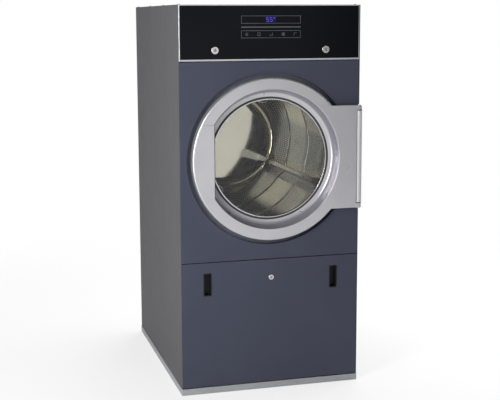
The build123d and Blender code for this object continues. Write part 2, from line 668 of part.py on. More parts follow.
# Felt round the throat, which the drum's turned-in mouth runs over
FELT_Y = DRUM_FRONT - DRUM_LIP
with BuildPart() as felt_seal:
    ring(THROAT_OUTER, THROAT_OUTER + FELT_THICKNESS, FELT_Y, FELT_Y + FELT_LENGTH)

# Bulkheads across the cabinet, in front of and behind the drum
with BuildPart() as front_bulkhead:
    with BuildSketch(facing(FRONT_BULKHEAD_Y)):
        with Locations((0, (BULKHEAD_LOW + BULKHEAD_HIGH) / 2)):
            Rectangle(2 * INNER_SIDE, BULKHEAD_HIGH - BULKHEAD_LOW)
        with Locations((0, DOOR_HEIGHT)):
            Circle(THROAT_OUTER, mode=Mode.SUBTRACT)
    extrude(amount=-BULKHEAD_SHEET)

with BuildPart() as rear_bulkhead:
    with BuildSketch(facing(REAR_BULKHEAD_Y)):
        with Locations((0, (REAR_BULKHEAD_LOW + BULKHEAD_HIGH) / 2)):
            Rectangle(2 * INNER_SIDE, BULKHEAD_HIGH - REAR_BULKHEAD_LOW)
        with Locations((0, DOOR_HEIGHT)):
            Circle(SHAFT_RADIUS + 2 * SWING_GAP, mode=Mode.SUBTRACT)
        with Locations((0, HEATER_CENTRE)):
            with GridLocations(LOUVRE_PITCH_X, LOUVRE_PITCH_Z, LOUVRE_COLUMNS, LOUVRE_ROWS):
                Rectangle(LOUVRE_WIDTH, LOUVRE_HEIGHT, mode=Mode.SUBTRACT)
    extrude(amount=-BULKHEAD_SHEET)

# Air casing round the drum, open at the bottom towards the lint drawer
with BuildPart() as drum_casing:
    ring(CASING_RADIUS - CASING_SHEET, CASING_RADIUS, FRONT_BULKHEAD_Y + BULKHEAD_SHEET, REAR_BULKHEAD_Y)
    with BuildSketch(Plane.XY.offset(DOOR_HEIGHT)):
        with Locations((0, (FRONT_BULKHEAD_Y + REAR_BULKHEAD_Y) / 2)):
            Rectangle(CASING_OUTLET_WIDTH, CASING_OUTLET_LENGTH)
    extrude(amount=-CASING_RADIUS, mode=Mode.SUBTRACT)

# Drum: rolled shell with a turned-in front, a stepped back wall and lifters
DRUM_MOUTH = THROAT_OUTER + FELT_THICKNESS + SEAT_GAP
with BuildPart() as drum_shell:
    turned(
        [
            (DRUM_MOUTH, DRUM_FRONT - DRUM_LIP),
            (DRUM_MOUTH + DRUM_SHEET, DRUM_FRONT - DRUM_LIP),
            (DRUM_MOUTH + DRUM_SHEET, DRUM_FRONT - DRUM_SHEET),
            (DRUM_OUTER, DRUM_FRONT - DRUM_SHEET),
            (DRUM_OUTER, DRUM_BACK),
            (DRUM_RADIUS, DRUM_BACK),
            (DRUM_RADIUS, DRUM_FRONT),
            (DRUM_MOUTH, DRUM_FRONT),
        ]
    )

with BuildPart() as drum_back:
    disc(DRUM_BACK_RADIUS, DRUM_BACK - DRUM_SHEET - DRUM_BACK_RISE, DRUM_BACK)
    disc(DRUM_RADIUS, DRUM_BACK - DRUM_SHEET, DRUM_BACK)
    fillet(drum_back.edges().group_by(Axis.Y)[0], DRUM_BACK_RISE / 2)
    disc(DRUM_BACK_RADIUS - DRUM_BACK_RISE, DRUM_BACK - DRUM_BACK_RISE, DRUM_BACK, mode=Mode.SUBTRACT)

with BuildPart() as drum_lifters:
    with BuildSketch(facing(DRUM_FRONT + LIFTER_END_GAP)) as lifters:
        with Locations((0, DOOR_HEIGHT)):
            with PolarLocations(0, LIFTER_COUNT, start_angle=LIFTER_ANGLE):
                Polygon(
                    (DRUM_RADIUS, LIFTER_BASE / 2),
                    (DRUM_RADIUS - LIFTER_HEIGHT, LIFTER_TOP / 2),
                    (DRUM_RADIUS - LIFTER_HEIGHT, -LIFTER_TOP / 2),
                    (DRUM_RADIUS, -LIFTER_BASE / 2),
                    align=None,
                )
            Circle(DRUM_RADIUS, mode=Mode.INTERSECT)
        fillet(lifters.vertices().filter_by(lifter_ridge), LIFTER_TOP_RADIUS)
        offset(amount=-DRUM_SHEET, mode=Mode.SUBTRACT)
    extrude(amount=2 * LIFTER_END_GAP + DRUM_SHEET + DRUM_BACK_RISE - DRUM_DEPTH)

# Spider behind the drum, with its hub, and the shaft that runs back through the bearings
with BuildPart() as drum_spider:
    with BuildSketch(facing(DRUM_BACK)):
        with Locations((0, DOOR_HEIGHT)):
            with PolarLocations(DRUM_RADIUS / 2, LIFTER_COUNT, start_angle=LIFTER_ANGLE):
                Rectangle(DRUM_RADIUS, SPIDER_ARM_WIDTH)
            Circle(DRUM_RADIUS, mode=Mode.INTERSECT)
    extrude(amount=-SPIDER_THICKNESS)
    disc(SPIDER_HUB_RADIUS, DRUM_BACK, DRUM_BACK + SPIDER_HUB_LENGTH)
    disc(SHAFT_RADIUS, DRUM_BACK, DRUM_BACK + SPIDER_HUB_LENGTH, mode=Mode.SUBTRACT)

with BuildPart() as drum_shaft:
    disc(SHAFT_RADIUS, DRUM_BACK, PULLEY_END + SHAFT_STUB)

# Bearing housing on the rear bulkhead: flange, boss and ribs, with a bearing at each end
with BuildPart() as bearing_housing:
    with BuildSketch(facing(REAR_FACE)):
        with Locations((0, DOOR_HEIGHT)):
            with PolarLocations(HOUSING_FLANGE_RADIUS / 2, HOUSING_RIBS):
                Rectangle(HOUSING_FLANGE_RADIUS, HOUSING_RIB_WIDTH)
            Circle(HOUSING_FLANGE_RADIUS, mode=Mode.INTERSECT)
    extrude(amount=-HOUSING_LENGTH / 2)
    disc(HOUSING_FLANGE_RADIUS, REAR_FACE, REAR_FACE + HOUSING_FLANGE)
    disc(HOUSING_BOSS_RADIUS, REAR_FACE, HOUSING_END)
    disc(BEARING_RADIUS, REAR_FACE, HOUSING_END, mode=Mode.SUBTRACT)

with BuildPart() as drum_bearings:
    for bearing_y in (REAR_FACE, HOUSING_END - BEARING_WIDTH):
        ring(SHAFT_RADIUS + RUNNING_FIT, BEARING_RADIUS, bearing_y, bearing_y + BEARING_WIDTH)

# Drum pulley with a flanged rim, a pierced web and a hub on the shaft
with BuildPart() as drum_pulley:
    turned(
        [
            (SHAFT_RADIUS, PULLEY_Y),
            (PULLEY_HUB_RADIUS, PULLEY_Y),
            (PULLEY_HUB_RADIUS, PULLEY_Y + (PULLEY_WIDTH - PULLEY_WEB) / 2),
            (PULLEY_RADIUS - PULLEY_RIM, PULLEY_Y + (PULLEY_WIDTH - PULLEY_WEB) / 2),
            (PULLEY_RADIUS - PULLEY_RIM, PULLEY_Y),
            (PULLEY_RADIUS + PULLEY_FLANGE, PULLEY_Y),
            (PULLEY_RADIUS + PULLEY_FLANGE, PULLEY_Y + PULLEY_FLANGE_WIDTH),
            (PULLEY_RADIUS, PULLEY_Y + PULLEY_FLANGE_WIDTH),
            (PULLEY_RADIUS, PULLEY_END - PULLEY_FLANGE_WIDTH),
            (PULLEY_RADIUS + PULLEY_FLANGE, PULLEY_END - PULLEY_FLANGE_WIDTH),
            (PULLEY_RADIUS + PULLEY_FLANGE, PULLEY_END),
            (PULLEY_RADIUS - PULLEY_RIM, PULLEY_END),
            (PULLEY_RADIUS - PULLEY_RIM, PULLEY_Y + (PULLEY_WIDTH + PULLEY_WEB) / 2),
            (PULLEY_HUB_RADIUS, PULLEY_Y + (PULLEY_WIDTH + PULLEY_WEB) / 2),
            (PULLEY_HUB_RADIUS, PULLEY_END),
            (SHAFT_RADIUS, PULLEY_END),
        ]
    )
    with BuildSketch(facing(PULLEY_Y)):
        with Locations((0, DOOR_HEIGHT)):
            with PolarLocations((PULLEY_HUB_RADIUS + PULLEY_RADIUS - PULLEY_RIM) / 2, PULLEY_WINDOWS):
                Circle(PULLEY_WINDOW_RADIUS)
    extrude(amount=-PULLEY_WIDTH, mode=Mode.SUBTRACT)

# Motor on the rear bulkhead, its pulley and shaft, and the belt to the drum pulley
MOTOR_FRONT = REAR_FACE + MOTOR_FOOT_SHEET
MOTOR_BACK = MOTOR_FRONT + MOTOR_LENGTH
MOTOR_SHAFT_Y = MOTOR_BACK - MOTOR_SHAFT_SEAT
with BuildPart() as drive_motor:
    with BuildSketch(facing(REAR_FACE)):
        with Locations(MOTOR_AXIS):
            RectangleRounded(MOTOR_FOOT, MOTOR_FOOT, FOLD_RADIUS)
    extrude(amount=-MOTOR_FOOT_SHEET)
    with BuildSketch(facing(MOTOR_FRONT)):
        with Locations(MOTOR_AXIS):
            Circle(MOTOR_RADIUS)
            with PolarLocations(MOTOR_RADIUS, MOTOR_FINS):
                Rectangle(2 * MOTOR_FIN_HEIGHT, MOTOR_FIN_WIDTH)
    extrude(amount=-MOTOR_LENGTH)
    post(MOTOR_SHAFT_RADIUS + RUNNING_FIT, *MOTOR_AXIS, MOTOR_SHAFT_Y, MOTOR_BACK, mode=Mode.SUBTRACT)

with BuildPart() as motor_pulley:
    post(MOTOR_SHAFT_RADIUS, *MOTOR_AXIS, MOTOR_SHAFT_Y + SEAT_GAP, PULLEY_END)
    post(MOTOR_PULLEY_RADIUS, *MOTOR_AXIS, PULLEY_Y, PULLEY_END)
    for flange_y in (PULLEY_Y, PULLEY_END - PULLEY_FLANGE_WIDTH):
        post(MOTOR_PULLEY_RADIUS + PULLEY_FLANGE, *MOTOR_AXIS, flange_y, flange_y + PULLEY_FLANGE_WIDTH)

BELT_Y = PULLEY_Y + PULLEY_FLANGE_WIDTH + SEAT_GAP
BELT_WIDTH = PULLEY_WIDTH - 2 * PULLEY_FLANGE_WIDTH - 2 * SEAT_GAP


def belt_loop(growth):
    """Outline round both pulleys, growth outside their treads, as a part."""
    with BuildPart() as loop:
        with BuildSketch(facing(BELT_Y)):
            with Locations((0, DOOR_HEIGHT)):
                Circle(PULLEY_RADIUS + growth)
            with Locations(MOTOR_AXIS):
                Circle(MOTOR_PULLEY_RADIUS + growth)
            make_hull()
        extrude(amount=-BELT_WIDTH)
    return loop.part


with BuildPart() as drive_belt:
    add(belt_loop(SEAT_GAP + BELT_THICKNESS))
    add(belt_loop(SEAT_GAP), mode=Mode.SUBTRACT)

# Heater box behind the rear bulkhead, with rods across it
with BuildPart() as heater_box:
    with BuildSketch(facing(REAR_FACE)):
        with Locations((0, HEATER_CENTRE)):
            Rectangle(HEATER_WIDTH, HEATER_HEIGHT)
            Rectangle(HEATER_WIDTH - 2 * SHEET, HEATER_HEIGHT - 2 * SHEET, mode=Mode.SUBTRACT)
    extrude(amount=-HEATER_DEPTH)

with BuildPart() as heater_elements:
    with BuildSketch(Plane.YZ.offset(SHEET - HEATER_WIDTH / 2)):
        with Locations((REAR_FACE + HEATER_DEPTH / 2, HEATER_CENTRE)):
            with GridLocations(ELEMENT_PITCH, ELEMENT_PITCH, ELEMENT_ROWS, ELEMENT_COLUMNS):
                Circle(ELEMENT_RADIUS)
    extrude(amount=HEATER_WIDTH - 2 * SHEET)


def across(x):
    """Plane along the cabinet at x, centred on the blower: its x is the part's Y and its y the part's Z."""
    return Plane(origin=(x, BLOWER_Y, BLOWER_HEIGHT), x_dir=(0, 1, 0), z_dir=(1, 0, 0))


def scroll(growth):
    """Spiral blower outline of quarter arcs that widen towards the outlet at the rear panel."""
    shift = SCROLL_STEP / 2
    rear = BACK - SHEET - BLOWER_Y
    low_wall = SCROLL_TOP - OUTLET_HEIGHT - growth
    with BuildLine() as outline:
        rear_arc = CenterArc((-shift, -shift), SCROLL_START + growth, 0, -90)
        low_arc = CenterArc((-shift, shift), SCROLL_START + SCROLL_STEP + growth, -90, -90)
        front_arc = CenterArc((shift, shift), SCROLL_START + 2 * SCROLL_STEP + growth, 180, -90)
        tongue = ((rear_arc @ 0).X, low_wall)
        Polyline(front_arc @ 1, (rear, SCROLL_TOP + growth), (rear, low_wall), tongue, rear_arc @ 0)
    make_face(outline.edges())


# Blower housing: a scroll on two foot plates, its inlet in the left wall and its outlet at the rear panel
BLOWER_LEFT = -BLOWER_WIDTH / 2
with BuildPart() as blower_housing:
    with BuildSketch(across(BLOWER_LEFT)):
        scroll(BLOWER_SHEET)
    extrude(amount=BLOWER_WIDTH)
    for wall_x in (BLOWER_LEFT, -BLOWER_LEFT - BLOWER_SHEET):
        with BuildSketch(across(wall_x)):
            with Locations((0, (PAN_SHEET - BLOWER_HEIGHT) / 2)):
                Rectangle(2 * BLOWER_FOOT, BLOWER_HEIGHT - PAN_SHEET)
        extrude(amount=BLOWER_SHEET)
    with BuildSketch(across(BLOWER_LEFT + BLOWER_SHEET)):
        scroll(0)
    extrude(amount=BLOWER_WIDTH - 2 * BLOWER_SHEET, mode=Mode.SUBTRACT)
    with BuildSketch(across(BLOWER_LEFT)):
        Circle(INLET_RADIUS)
    extrude(amount=BLOWER_SHEET, mode=Mode.SUBTRACT)
    with BuildSketch(across(-BLOWER_LEFT - BLOWER_SHEET)):
        Circle(BLOWER_SHAFT_RADIUS + SWING_GAP)
    extrude(amount=BLOWER_SHEET, mode=Mode.SUBTRACT)

# Wheel of the blower: swept blades between a back plate and a shroud, on a hub with its shaft
BLADE_MIDDLE = (WHEEL_EYE_RADIUS + WHEEL_RADIUS) / 2
BLADE_LENGTH = WHEEL_RADIUS - WHEEL_EYE_RADIUS - BLADE_THICKNESS
with BuildPart() as blower_wheel:
    with BuildSketch(across(-WHEEL_WIDTH / 2)):
        with PolarLocations(BLADE_MIDDLE, BLADE_COUNT):
            Rectangle(BLADE_LENGTH, BLADE_THICKNESS, rotation=BLADE_SWEEP)
    extrude(amount=WHEEL_WIDTH)
    with BuildSketch(across(-WHEEL_WIDTH / 2)):
        Circle(WHEEL_RADIUS)
        Circle(WHEEL_EYE_RADIUS, mode=Mode.SUBTRACT)
    extrude(amount=WHEEL_SHEET)
    with BuildSketch(across(WHEEL_WIDTH / 2 - WHEEL_SHEET)):
        Circle(WHEEL_RADIUS)
    extrude(amount=WHEEL_SHEET)
    with BuildSketch(across(0)):
        Circle(WHEEL_HUB_RADIUS)
    extrude(amount=WHEEL_WIDTH / 2)
    with BuildSketch(across(0)):
        Circle(BLOWER_SHAFT_RADIUS)
    extrude(amount=BLOWER_WIDTH / 2 + BLOWER_SHAFT_SEAT - SEAT_GAP)

# Motor of the blower, on the right wall of its housing
with BuildPart() as blower_motor:
    with BuildSketch(across(BLOWER_WIDTH / 2)):
        Circle(BLOWER_MOTOR_RADIUS)
    extrude(amount=BLOWER_MOTOR_LENGTH)
    fillet(blower_motor.edges().group_by(Axis.X)[-1], MOTOR_FIN_HEIGHT)
    with BuildSketch(across(BLOWER_WIDTH / 2)):
        Circle(BLOWER_SHAFT_RADIUS + RUNNING_FIT)
    extrude(amount=BLOWER_SHAFT_SEAT, mode=Mode.SUBTRACT)

# Control fascia: folded metal frame, glossy panel seated in it, and the display board behind
OPENING_WIDTH = FRONT_PANEL_WIDTH - 2 * FASCIA_BORDER
OPENING_LOW = FASCIA_LOW + FASCIA_SILL
OPENING_HIGH = HEIGHT - FASCIA_BORDER
OPENING_CENTRE = (OPENING_LOW + OPENING_HIGH) / 2
OPENING_HEIGHT = OPENING_HIGH - OPENING_LOW
BOARD_Y = FRONT + SHEET + FASCIA_BACKING
with BuildPart() as fascia_frame:
    add(folded_panel(FASCIA_LOW, HEIGHT, FASCIA_RETURN))
    with BuildSketch(facing(FRONT)):
        with Locations((0, OPENING_CENTRE)):
            Rectangle(OPENING_WIDTH, OPENING_HEIGHT)
    extrude(amount=-SHEET, mode=Mode.SUBTRACT)
    with BuildSketch(Plane.YZ.offset(-SIDE)):
        with Locations((PIVOT_Y, PIVOT_HEIGHT)):
            Circle(PIVOT_RADIUS + RUNNING_FIT)
    extrude(amount=WIDTH, mode=Mode.SUBTRACT)

with BuildPart() as fascia_panel:
    with BuildSketch(facing(FRONT)):
        with Locations((0, OPENING_CENTRE)):
            Rectangle(OPENING_WIDTH - 2 * SEAT_GAP, OPENING_HEIGHT - 2 * SEAT_GAP)
    extrude(amount=-SHEET)
    with BuildSketch(facing(FRONT + SHEET)):
        with Locations((0, OPENING_CENTRE)):
            Rectangle(OPENING_WIDTH + 2 * FASCIA_OVERLAP, OPENING_HEIGHT + 2 * FASCIA_OVERLAP)
    extrude(amount=-FASCIA_BACKING)
    for lock_x in (-FASCIA_LOCK_X, FASCIA_LOCK_X):
        post(LOCK_HOLE_RADIUS, lock_x, FASCIA_LOCK_HEIGHT, FRONT, BOARD_Y, mode=Mode.SUBTRACT)

with BuildPart() as control_board:
    with BuildSketch(facing(BOARD_Y)):
        with Locations((0, HEIGHT - BOARD_DROP)):
            RectangleRounded(BOARD_WIDTH, BOARD_HEIGHT, FOLD_RADIUS)
    extrude(amount=-BOARD_DEPTH)

# Pivot studs in the side panels, which carry the fascia by its folded sides
with BuildPart() as fascia_pivots:
    for stud_end in (-1, 1):
        with BuildSketch(Plane.YZ.offset(stud_end * INNER_SIDE)):
            with Locations((PIVOT_Y, PIVOT_HEIGHT)):
                Circle(PIVOT_RADIUS)
        extrude(amount=-stud_end * (SHEET + SIDE_GAP + SEAT_GAP))
        with BuildSketch(Plane.YZ.offset(stud_end * (INNER_SIDE - SHEET - SIDE_GAP - SEAT_GAP))):
            with Locations((PIVOT_Y, PIVOT_HEIGHT)):
                Circle(PIVOT_HEAD_RADIUS)
        extrude(amount=-stud_end * PIVOT_HEAD_LENGTH)

# Box for the switchgear, on the front bulkhead behind the fascia
with BuildPart() as electrics_box:
    with BuildSketch(Plane.XY.offset(BULKHEAD_HIGH)):
        with Locations((0, FRONT_BULKHEAD_Y - ELECTRICS_OVERHANG + ELECTRICS_DEPTH / 2)):
            Rectangle(ELECTRICS_WIDTH, ELECTRICS_DEPTH)
    extrude(amount=ELECTRICS_HEIGHT)
    fillet(electrics_box.edges().filter_by(Axis.Z), FOLD_RADIUS)
    with BuildSketch(Plane.XY.offset(BULKHEAD_HIGH + SHEET)):
        with Locations((0, FRONT_BULKHEAD_Y - ELECTRICS_OVERHANG + ELECTRICS_DEPTH / 2)):
            Rectangle(ELECTRICS_WIDTH - 2 * SHEET, ELECTRICS_DEPTH - 2 * SHEET)
    extrude(amount=ELECTRICS_HEIGHT - SHEET, mode=Mode.SUBTRACT)


def lock_bezel(radius, x, z):
    """Fixed part of a cam lock: a round bezel in front of the sheet and a barrel through it."""
    with BuildPart() as bezel:
        post(radius, x, z, FRONT - BEZEL_PROUD, FRONT)
        fillet(bezel.edges().group_by(Axis.Y)[0], BEZEL_PROUD / 2)
        barrel_end = FRONT + LOCK_BARREL_LENGTH
        post(LOCK_BARREL_RADIUS, x, z, FRONT, barrel_end)
        post(LOCK_PLUG_RADIUS + RUNNING_FIT, x, z, FRONT - BEZEL_PROUD, barrel_end, mode=Mode.SUBTRACT)
    return bezel.part


def lock_plug(x, z, cam_y, direction):
    """Turning part of a cam lock: a plug with a key slot, and a cam at cam_y that points to one side."""
    with BuildPart() as plug:
        post(LOCK_PLUG_RADIUS, x, z, FRONT - BEZEL_PROUD, cam_y)
        with BuildSketch(facing(FRONT - BEZEL_PROUD)):
            with Locations((x, z)):
                Rectangle(KEY_SLOT_WIDTH, KEY_SLOT_LENGTH)
        extrude(amount=-KEY_SLOT_DEPTH, mode=Mode.SUBTRACT)
        with BuildSketch(facing(cam_y)):
            with Locations((x + direction * (CAM_LENGTH - CAM_WIDTH / 2) / 2, z)):
                SlotOverall(CAM_LENGTH + CAM_WIDTH / 2, CAM_WIDTH)
        extrude(amount=-CAM_THICKNESS)
    return plug.part


FASCIA_CAM_Y = FRONT + RETURN_DEPTH + CAM_GAP
DRAWER_CAM_Y = FLANGE_Y + 2 * SHEET + CAM_GAP
with BuildPart() as lock_bezels:
    for lock_x in (-FASCIA_LOCK_X, FASCIA_LOCK_X):
        add(lock_bezel(FASCIA_BEZEL_RADIUS, lock_x, FASCIA_LOCK_HEIGHT))

with BuildPart() as cam_lock_left:
    add(lock_plug(-FASCIA_LOCK_X, FASCIA_LOCK_HEIGHT, FASCIA_CAM_Y, 1))

with BuildPart() as cam_lock_right:
    add(lock_plug(FASCIA_LOCK_X, FASCIA_LOCK_HEIGHT, FASCIA_CAM_Y, -1))

with BuildPart() as drawer_lock_bezel:
    add(lock_bezel(DRAWER_BEZEL_RADIUS, 0, DRAWER_LOCK_HEIGHT))

with BuildPart() as drawer_lock:
    add(lock_plug(0, DRAWER_LOCK_HEIGHT, DRAWER_CAM_Y, 1))

# Lower front panel, which is the front of the lint drawer
PULL_BODY_WIDTH = PULL_WIDTH - 2 * PULL_RIM
PULL_BODY_TALL = PULL_TALL - 2 * PULL_RIM
with BuildPart() as drawer_front:
    add(folded_panel(PLINTH_HEIGHT + PANEL_GAP, SEAM_HEIGHT - PANEL_GAP, RETURN_DEPTH))
    with BuildSketch(facing(FRONT)):
        with Locations((-PULL_X, PULL_HEIGHT), (PULL_X, PULL_HEIGHT)):
            Rectangle(PULL_BODY_WIDTH, PULL_BODY_TALL)
        with Locations((0, DRAWER_LOCK_HEIGHT)):
            Circle(LOCK_HOLE_RADIUS)
    extrude(amount=-SHEET, mode=Mode.SUBTRACT)


def pull_cup(x):
    """Recessed finger pull: a rim on the panel and an open cup behind it."""
    with BuildPart() as cup:
        with BuildSketch(facing(FRONT - PULL_RIM_PROUD)):
            with Locations((x, PULL_HEIGHT)):
                RectangleRounded(PULL_WIDTH, PULL_TALL, PULL_CORNER)
        extrude(amount=-PULL_RIM_PROUD)
        with BuildSketch(facing(FRONT)):
            with Locations((x, PULL_HEIGHT)):
                Rectangle(PULL_BODY_WIDTH, PULL_BODY_TALL)
        extrude(amount=-PULL_DEPTH)
        with BuildSketch(facing(FRONT - PULL_RIM_PROUD)):
            with Locations((x, PULL_HEIGHT)):
                Rectangle(PULL_BODY_WIDTH - 2 * PULL_WALL, PULL_BODY_TALL - 2 * PULL_WALL)
        extrude(amount=PULL_WALL - PULL_DEPTH - PULL_RIM_PROUD, mode=Mode.SUBTRACT)
    return cup.part


with BuildPart() as pull_cup_left:
    add(pull_cup(-PULL_X))

with BuildPart() as pull_cup_right:
    add(pull_cup(PULL_X))

# Drawer frame: four walls with an inner lip for the mesh and a runner along each side
DRAWER_FRONT = FRONT + SHEET
DRAWER_BACK = BLOWER_Y - SCROLL_TOP - BLOWER_SHEET - DRAWER_GAP
DRAWER_LENGTH = DRAWER_BACK - DRAWER_FRONT
DRAWER_LOW = SEAM_HEIGHT - DRAWER_DROP - DRAWER_DEPTH
DRAWER_MIDDLE = (DRAWER_FRONT + DRAWER_BACK) / 2
DRAWER_WIDTH = 2 * (INNER_SIDE - RAIL_WIDTH - RAIL_GAP)
RUNNER_FRONT = FLANGE_Y + SHEET
RUNNER_LENGTH = DRAWER_BACK - RUNNER_FRONT
RUNNER_CENTRE = DRAWER_LOW + RUNNER_LIFT
with BuildPart() as drawer_frame:
    with BuildSketch(Plane.XY.offset(DRAWER_LOW)):
        with Locations((0, DRAWER_MIDDLE)):
            Rectangle(DRAWER_WIDTH, DRAWER_LENGTH)
    extrude(amount=DRAWER_DEPTH)
    with BuildSketch(Plane.XY.offset(DRAWER_LOW + SHEET)):
        with Locations((0, DRAWER_MIDDLE)):
            Rectangle(DRAWER_WIDTH - 2 * SHEET, DRAWER_LENGTH - 2 * SHEET)
    extrude(amount=DRAWER_DEPTH, mode=Mode.SUBTRACT)
    with BuildSketch(Plane.XY.offset(DRAWER_LOW)):
        with Locations((0, DRAWER_MIDDLE)):
            Rectangle(DRAWER_WIDTH - 2 * DRAWER_LIP, DRAWER_LENGTH - 2 * DRAWER_LIP)
    extrude(amount=SHEET, mode=Mode.SUBTRACT)
    with BuildSketch(facing(RUNNER_FRONT)):
        for runner_side in (-1, 1):
            with Locations((runner_side * (DRAWER_WIDTH + RUNNER_WIDTH) / 2, RUNNER_CENTRE)):
                Rectangle(RUNNER_WIDTH, RUNNER_HEIGHT)
    extrude(amount=-RUNNER_LENGTH)

# Lint screen: a pierced plate lying on the lip of the drawer frame
MESH_WIDTH = DRAWER_WIDTH - 2 * SHEET - 2 * SEAT_GAP
MESH_LENGTH = DRAWER_LENGTH - 2 * SHEET - 2 * SEAT_GAP
MESH_PITCH_X = (MESH_WIDTH - 2 * DRAWER_LIP) / MESH_COLUMNS
MESH_PITCH_Y = (MESH_LENGTH - 2 * DRAWER_LIP) / MESH_ROWS
with BuildPart() as lint_screen:
    with BuildSketch(Plane.XY.offset(DRAWER_LOW + SHEET)):
        with Locations((0, DRAWER_MIDDLE)):
            Rectangle(MESH_WIDTH, MESH_LENGTH)
            with GridLocations(MESH_PITCH_X, MESH_PITCH_Y, MESH_COLUMNS, MESH_ROWS):
                Rectangle(MESH_PITCH_X - MESH_BAR, MESH_PITCH_Y - MESH_BAR, mode=Mode.SUBTRACT)
    extrude(amount=MESH_SHEET)

# Rails on the side panels: channels that the drawer's runners slide in
RAIL_HEIGHT = RUNNER_HEIGHT + 2 * SEAT_GAP + 2 * SHEET
with BuildPart() as drawer_rails:
    with BuildSketch(facing(RUNNER_FRONT)):
        for rail_side in (-1, 1):
            with Locations((rail_side * (INNER_SIDE - RAIL_WIDTH / 2), RUNNER_CENTRE)):
                Rectangle(RAIL_WIDTH, RAIL_HEIGHT)
            with Locations((rail_side * (INNER_SIDE - RAIL_WIDTH / 2 - SHEET), RUNNER_CENTRE)):
                Rectangle(RAIL_WIDTH, RAIL_HEIGHT - 2 * SHEET, mode=Mode.SUBTRACT)
    extrude(amount=-RUNNER_LENGTH - RAIL_OVERRUN)

PIECES = {
    "base_pan": base_pan,
    "side_panel_left": side_panel_left,
    "side_panel_right": side_panel_right,
    "front_panel": front_panel,
    "front_crossbar": front_crossbar,
    "top_panel": top_panel,
    "rear_panel": rear_panel,
    "rear_cover": rear_cover,
    "exhaust_collar": exhaust_collar,
    "cable_gland": cable_gland,
    "cover_screws": cover_screws,
    "door_surround": door_surround,
    "felt_seal": felt_seal,
    "front_bulkhead": front_bulkhead,
    "rear_bulkhead": rear_bulkhead,
    "drum_casing": drum_casing,
    "bearing_housing": bearing_housing,
    "drum_bearings": drum_bearings,
    "drive_motor": drive_motor,
    "drive_belt": drive_belt,
    "heater_box": heater_box,
    "heater_elements": heater_elements,
    "blower_housing": blower_housing,
    "blower_motor": blower_motor,
    "electrics_box": electrics_box,
    "fascia_pivots": fascia_pivots,
    "hinge_post": hinge_post,
    "door_magnet": door_magnet,
    "drawer_rails": drawer_rails,
    "door_ring": door_ring,
    "door_back": door_back,
    "door_gasket": door_gasket,
    "door_glass": door_glass,
    "glass_seal": glass_seal,
    "glass_trim": glass_trim,
    "handle_plate": handle_plate,
    "hinge_plate": hinge_plate,
    "hinge_pin": hinge_pin,
    "door_striker": door_striker,
    "drum_shell": drum_shell,
    "drum_back": drum_back,
    "drum_lifters": drum_lifters,
    "drum_spider": drum_spider,
    "drum_shaft": drum_shaft,
    "drum_pulley": drum_pulley,
    "motor_pulley": motor_pulley,
    "blower_wheel": blower_wheel,
    "fascia_frame": fascia_frame,
    "fascia_panel": fascia_panel,
    "control_board": control_board,
    "lock_bezels": lock_bezels,
    "cam_lock_left": cam_lock_left,
    "cam_lock_right": cam_lock_right,
    "drawer_front": drawer_front,
    "drawer_frame": drawer_frame,
    "lint_screen": lint_screen,
    "pull_cup_left": pull_cup_left,
    "pull_cup_right": pull_cup_right,
    "drawer_lock_bezel": drawer_lock_bezel,
    "drawer_lock": drawer_lock,
}

os.makedirs("parts", exist_ok=True)
for label, piece in PIECES.items():
    piece.part.label = label
    export_step(piece.part, f"parts/{label}.step")
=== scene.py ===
"""Looks of a front-loading tumble dryer, dressed round its packed solids.

Metres, in the part's own frame: +Z up, the front looks along -Y, the origin lies on the floor
under the middle of the cabinet.
"""

import json
import logging
import math
from dataclasses import dataclass, replace
from enum import Enum
from functools import cached_property, partial, reduce
from typing import Any, ClassVar, Dict, Iterable, List, Optional, Sequence, Tuple

import bpy
import numpy as np
from mathutils import Matrix, Vector

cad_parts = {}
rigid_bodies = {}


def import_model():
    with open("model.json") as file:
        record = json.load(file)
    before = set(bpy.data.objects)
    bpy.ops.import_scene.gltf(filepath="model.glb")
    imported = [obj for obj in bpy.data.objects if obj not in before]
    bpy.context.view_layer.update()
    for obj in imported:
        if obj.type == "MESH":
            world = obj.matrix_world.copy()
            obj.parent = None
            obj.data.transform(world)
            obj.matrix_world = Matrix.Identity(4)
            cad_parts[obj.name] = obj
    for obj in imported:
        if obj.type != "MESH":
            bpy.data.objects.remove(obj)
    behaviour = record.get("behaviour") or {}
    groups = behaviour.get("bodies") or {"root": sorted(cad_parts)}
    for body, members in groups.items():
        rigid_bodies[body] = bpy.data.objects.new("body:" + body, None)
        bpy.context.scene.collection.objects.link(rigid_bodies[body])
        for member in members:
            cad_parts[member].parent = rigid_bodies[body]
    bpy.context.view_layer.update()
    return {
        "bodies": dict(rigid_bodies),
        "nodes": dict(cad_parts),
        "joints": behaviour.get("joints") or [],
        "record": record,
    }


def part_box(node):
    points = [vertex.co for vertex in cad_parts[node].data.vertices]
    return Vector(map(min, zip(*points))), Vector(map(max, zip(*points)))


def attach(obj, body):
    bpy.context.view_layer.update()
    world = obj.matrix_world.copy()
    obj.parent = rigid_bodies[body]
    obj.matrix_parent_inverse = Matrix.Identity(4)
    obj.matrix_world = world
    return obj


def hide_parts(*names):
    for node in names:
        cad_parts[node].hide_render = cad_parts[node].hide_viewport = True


LOG = logging.getLogger("dryer")
Frame = Dict[str, Any]
Mesh = Tuple[np.ndarray, List[List[int]]]
Pair = Tuple[float, float]
Point = Tuple[float, float, float]
Fade = Tuple[int, float, float]
Socket = bpy.types.NodeSocket

MM = 0.001
IMAGE_WIDTH = 500.0
SENSOR_MM = 36.0
SHARP_ANGLE = math.radians(35.0)
WHITE = (1.0, 1.0, 1.0, 1.0)
# A point on the drum's axis, which runs along Y
AXIS = (0.0, 0.0, 1.032)
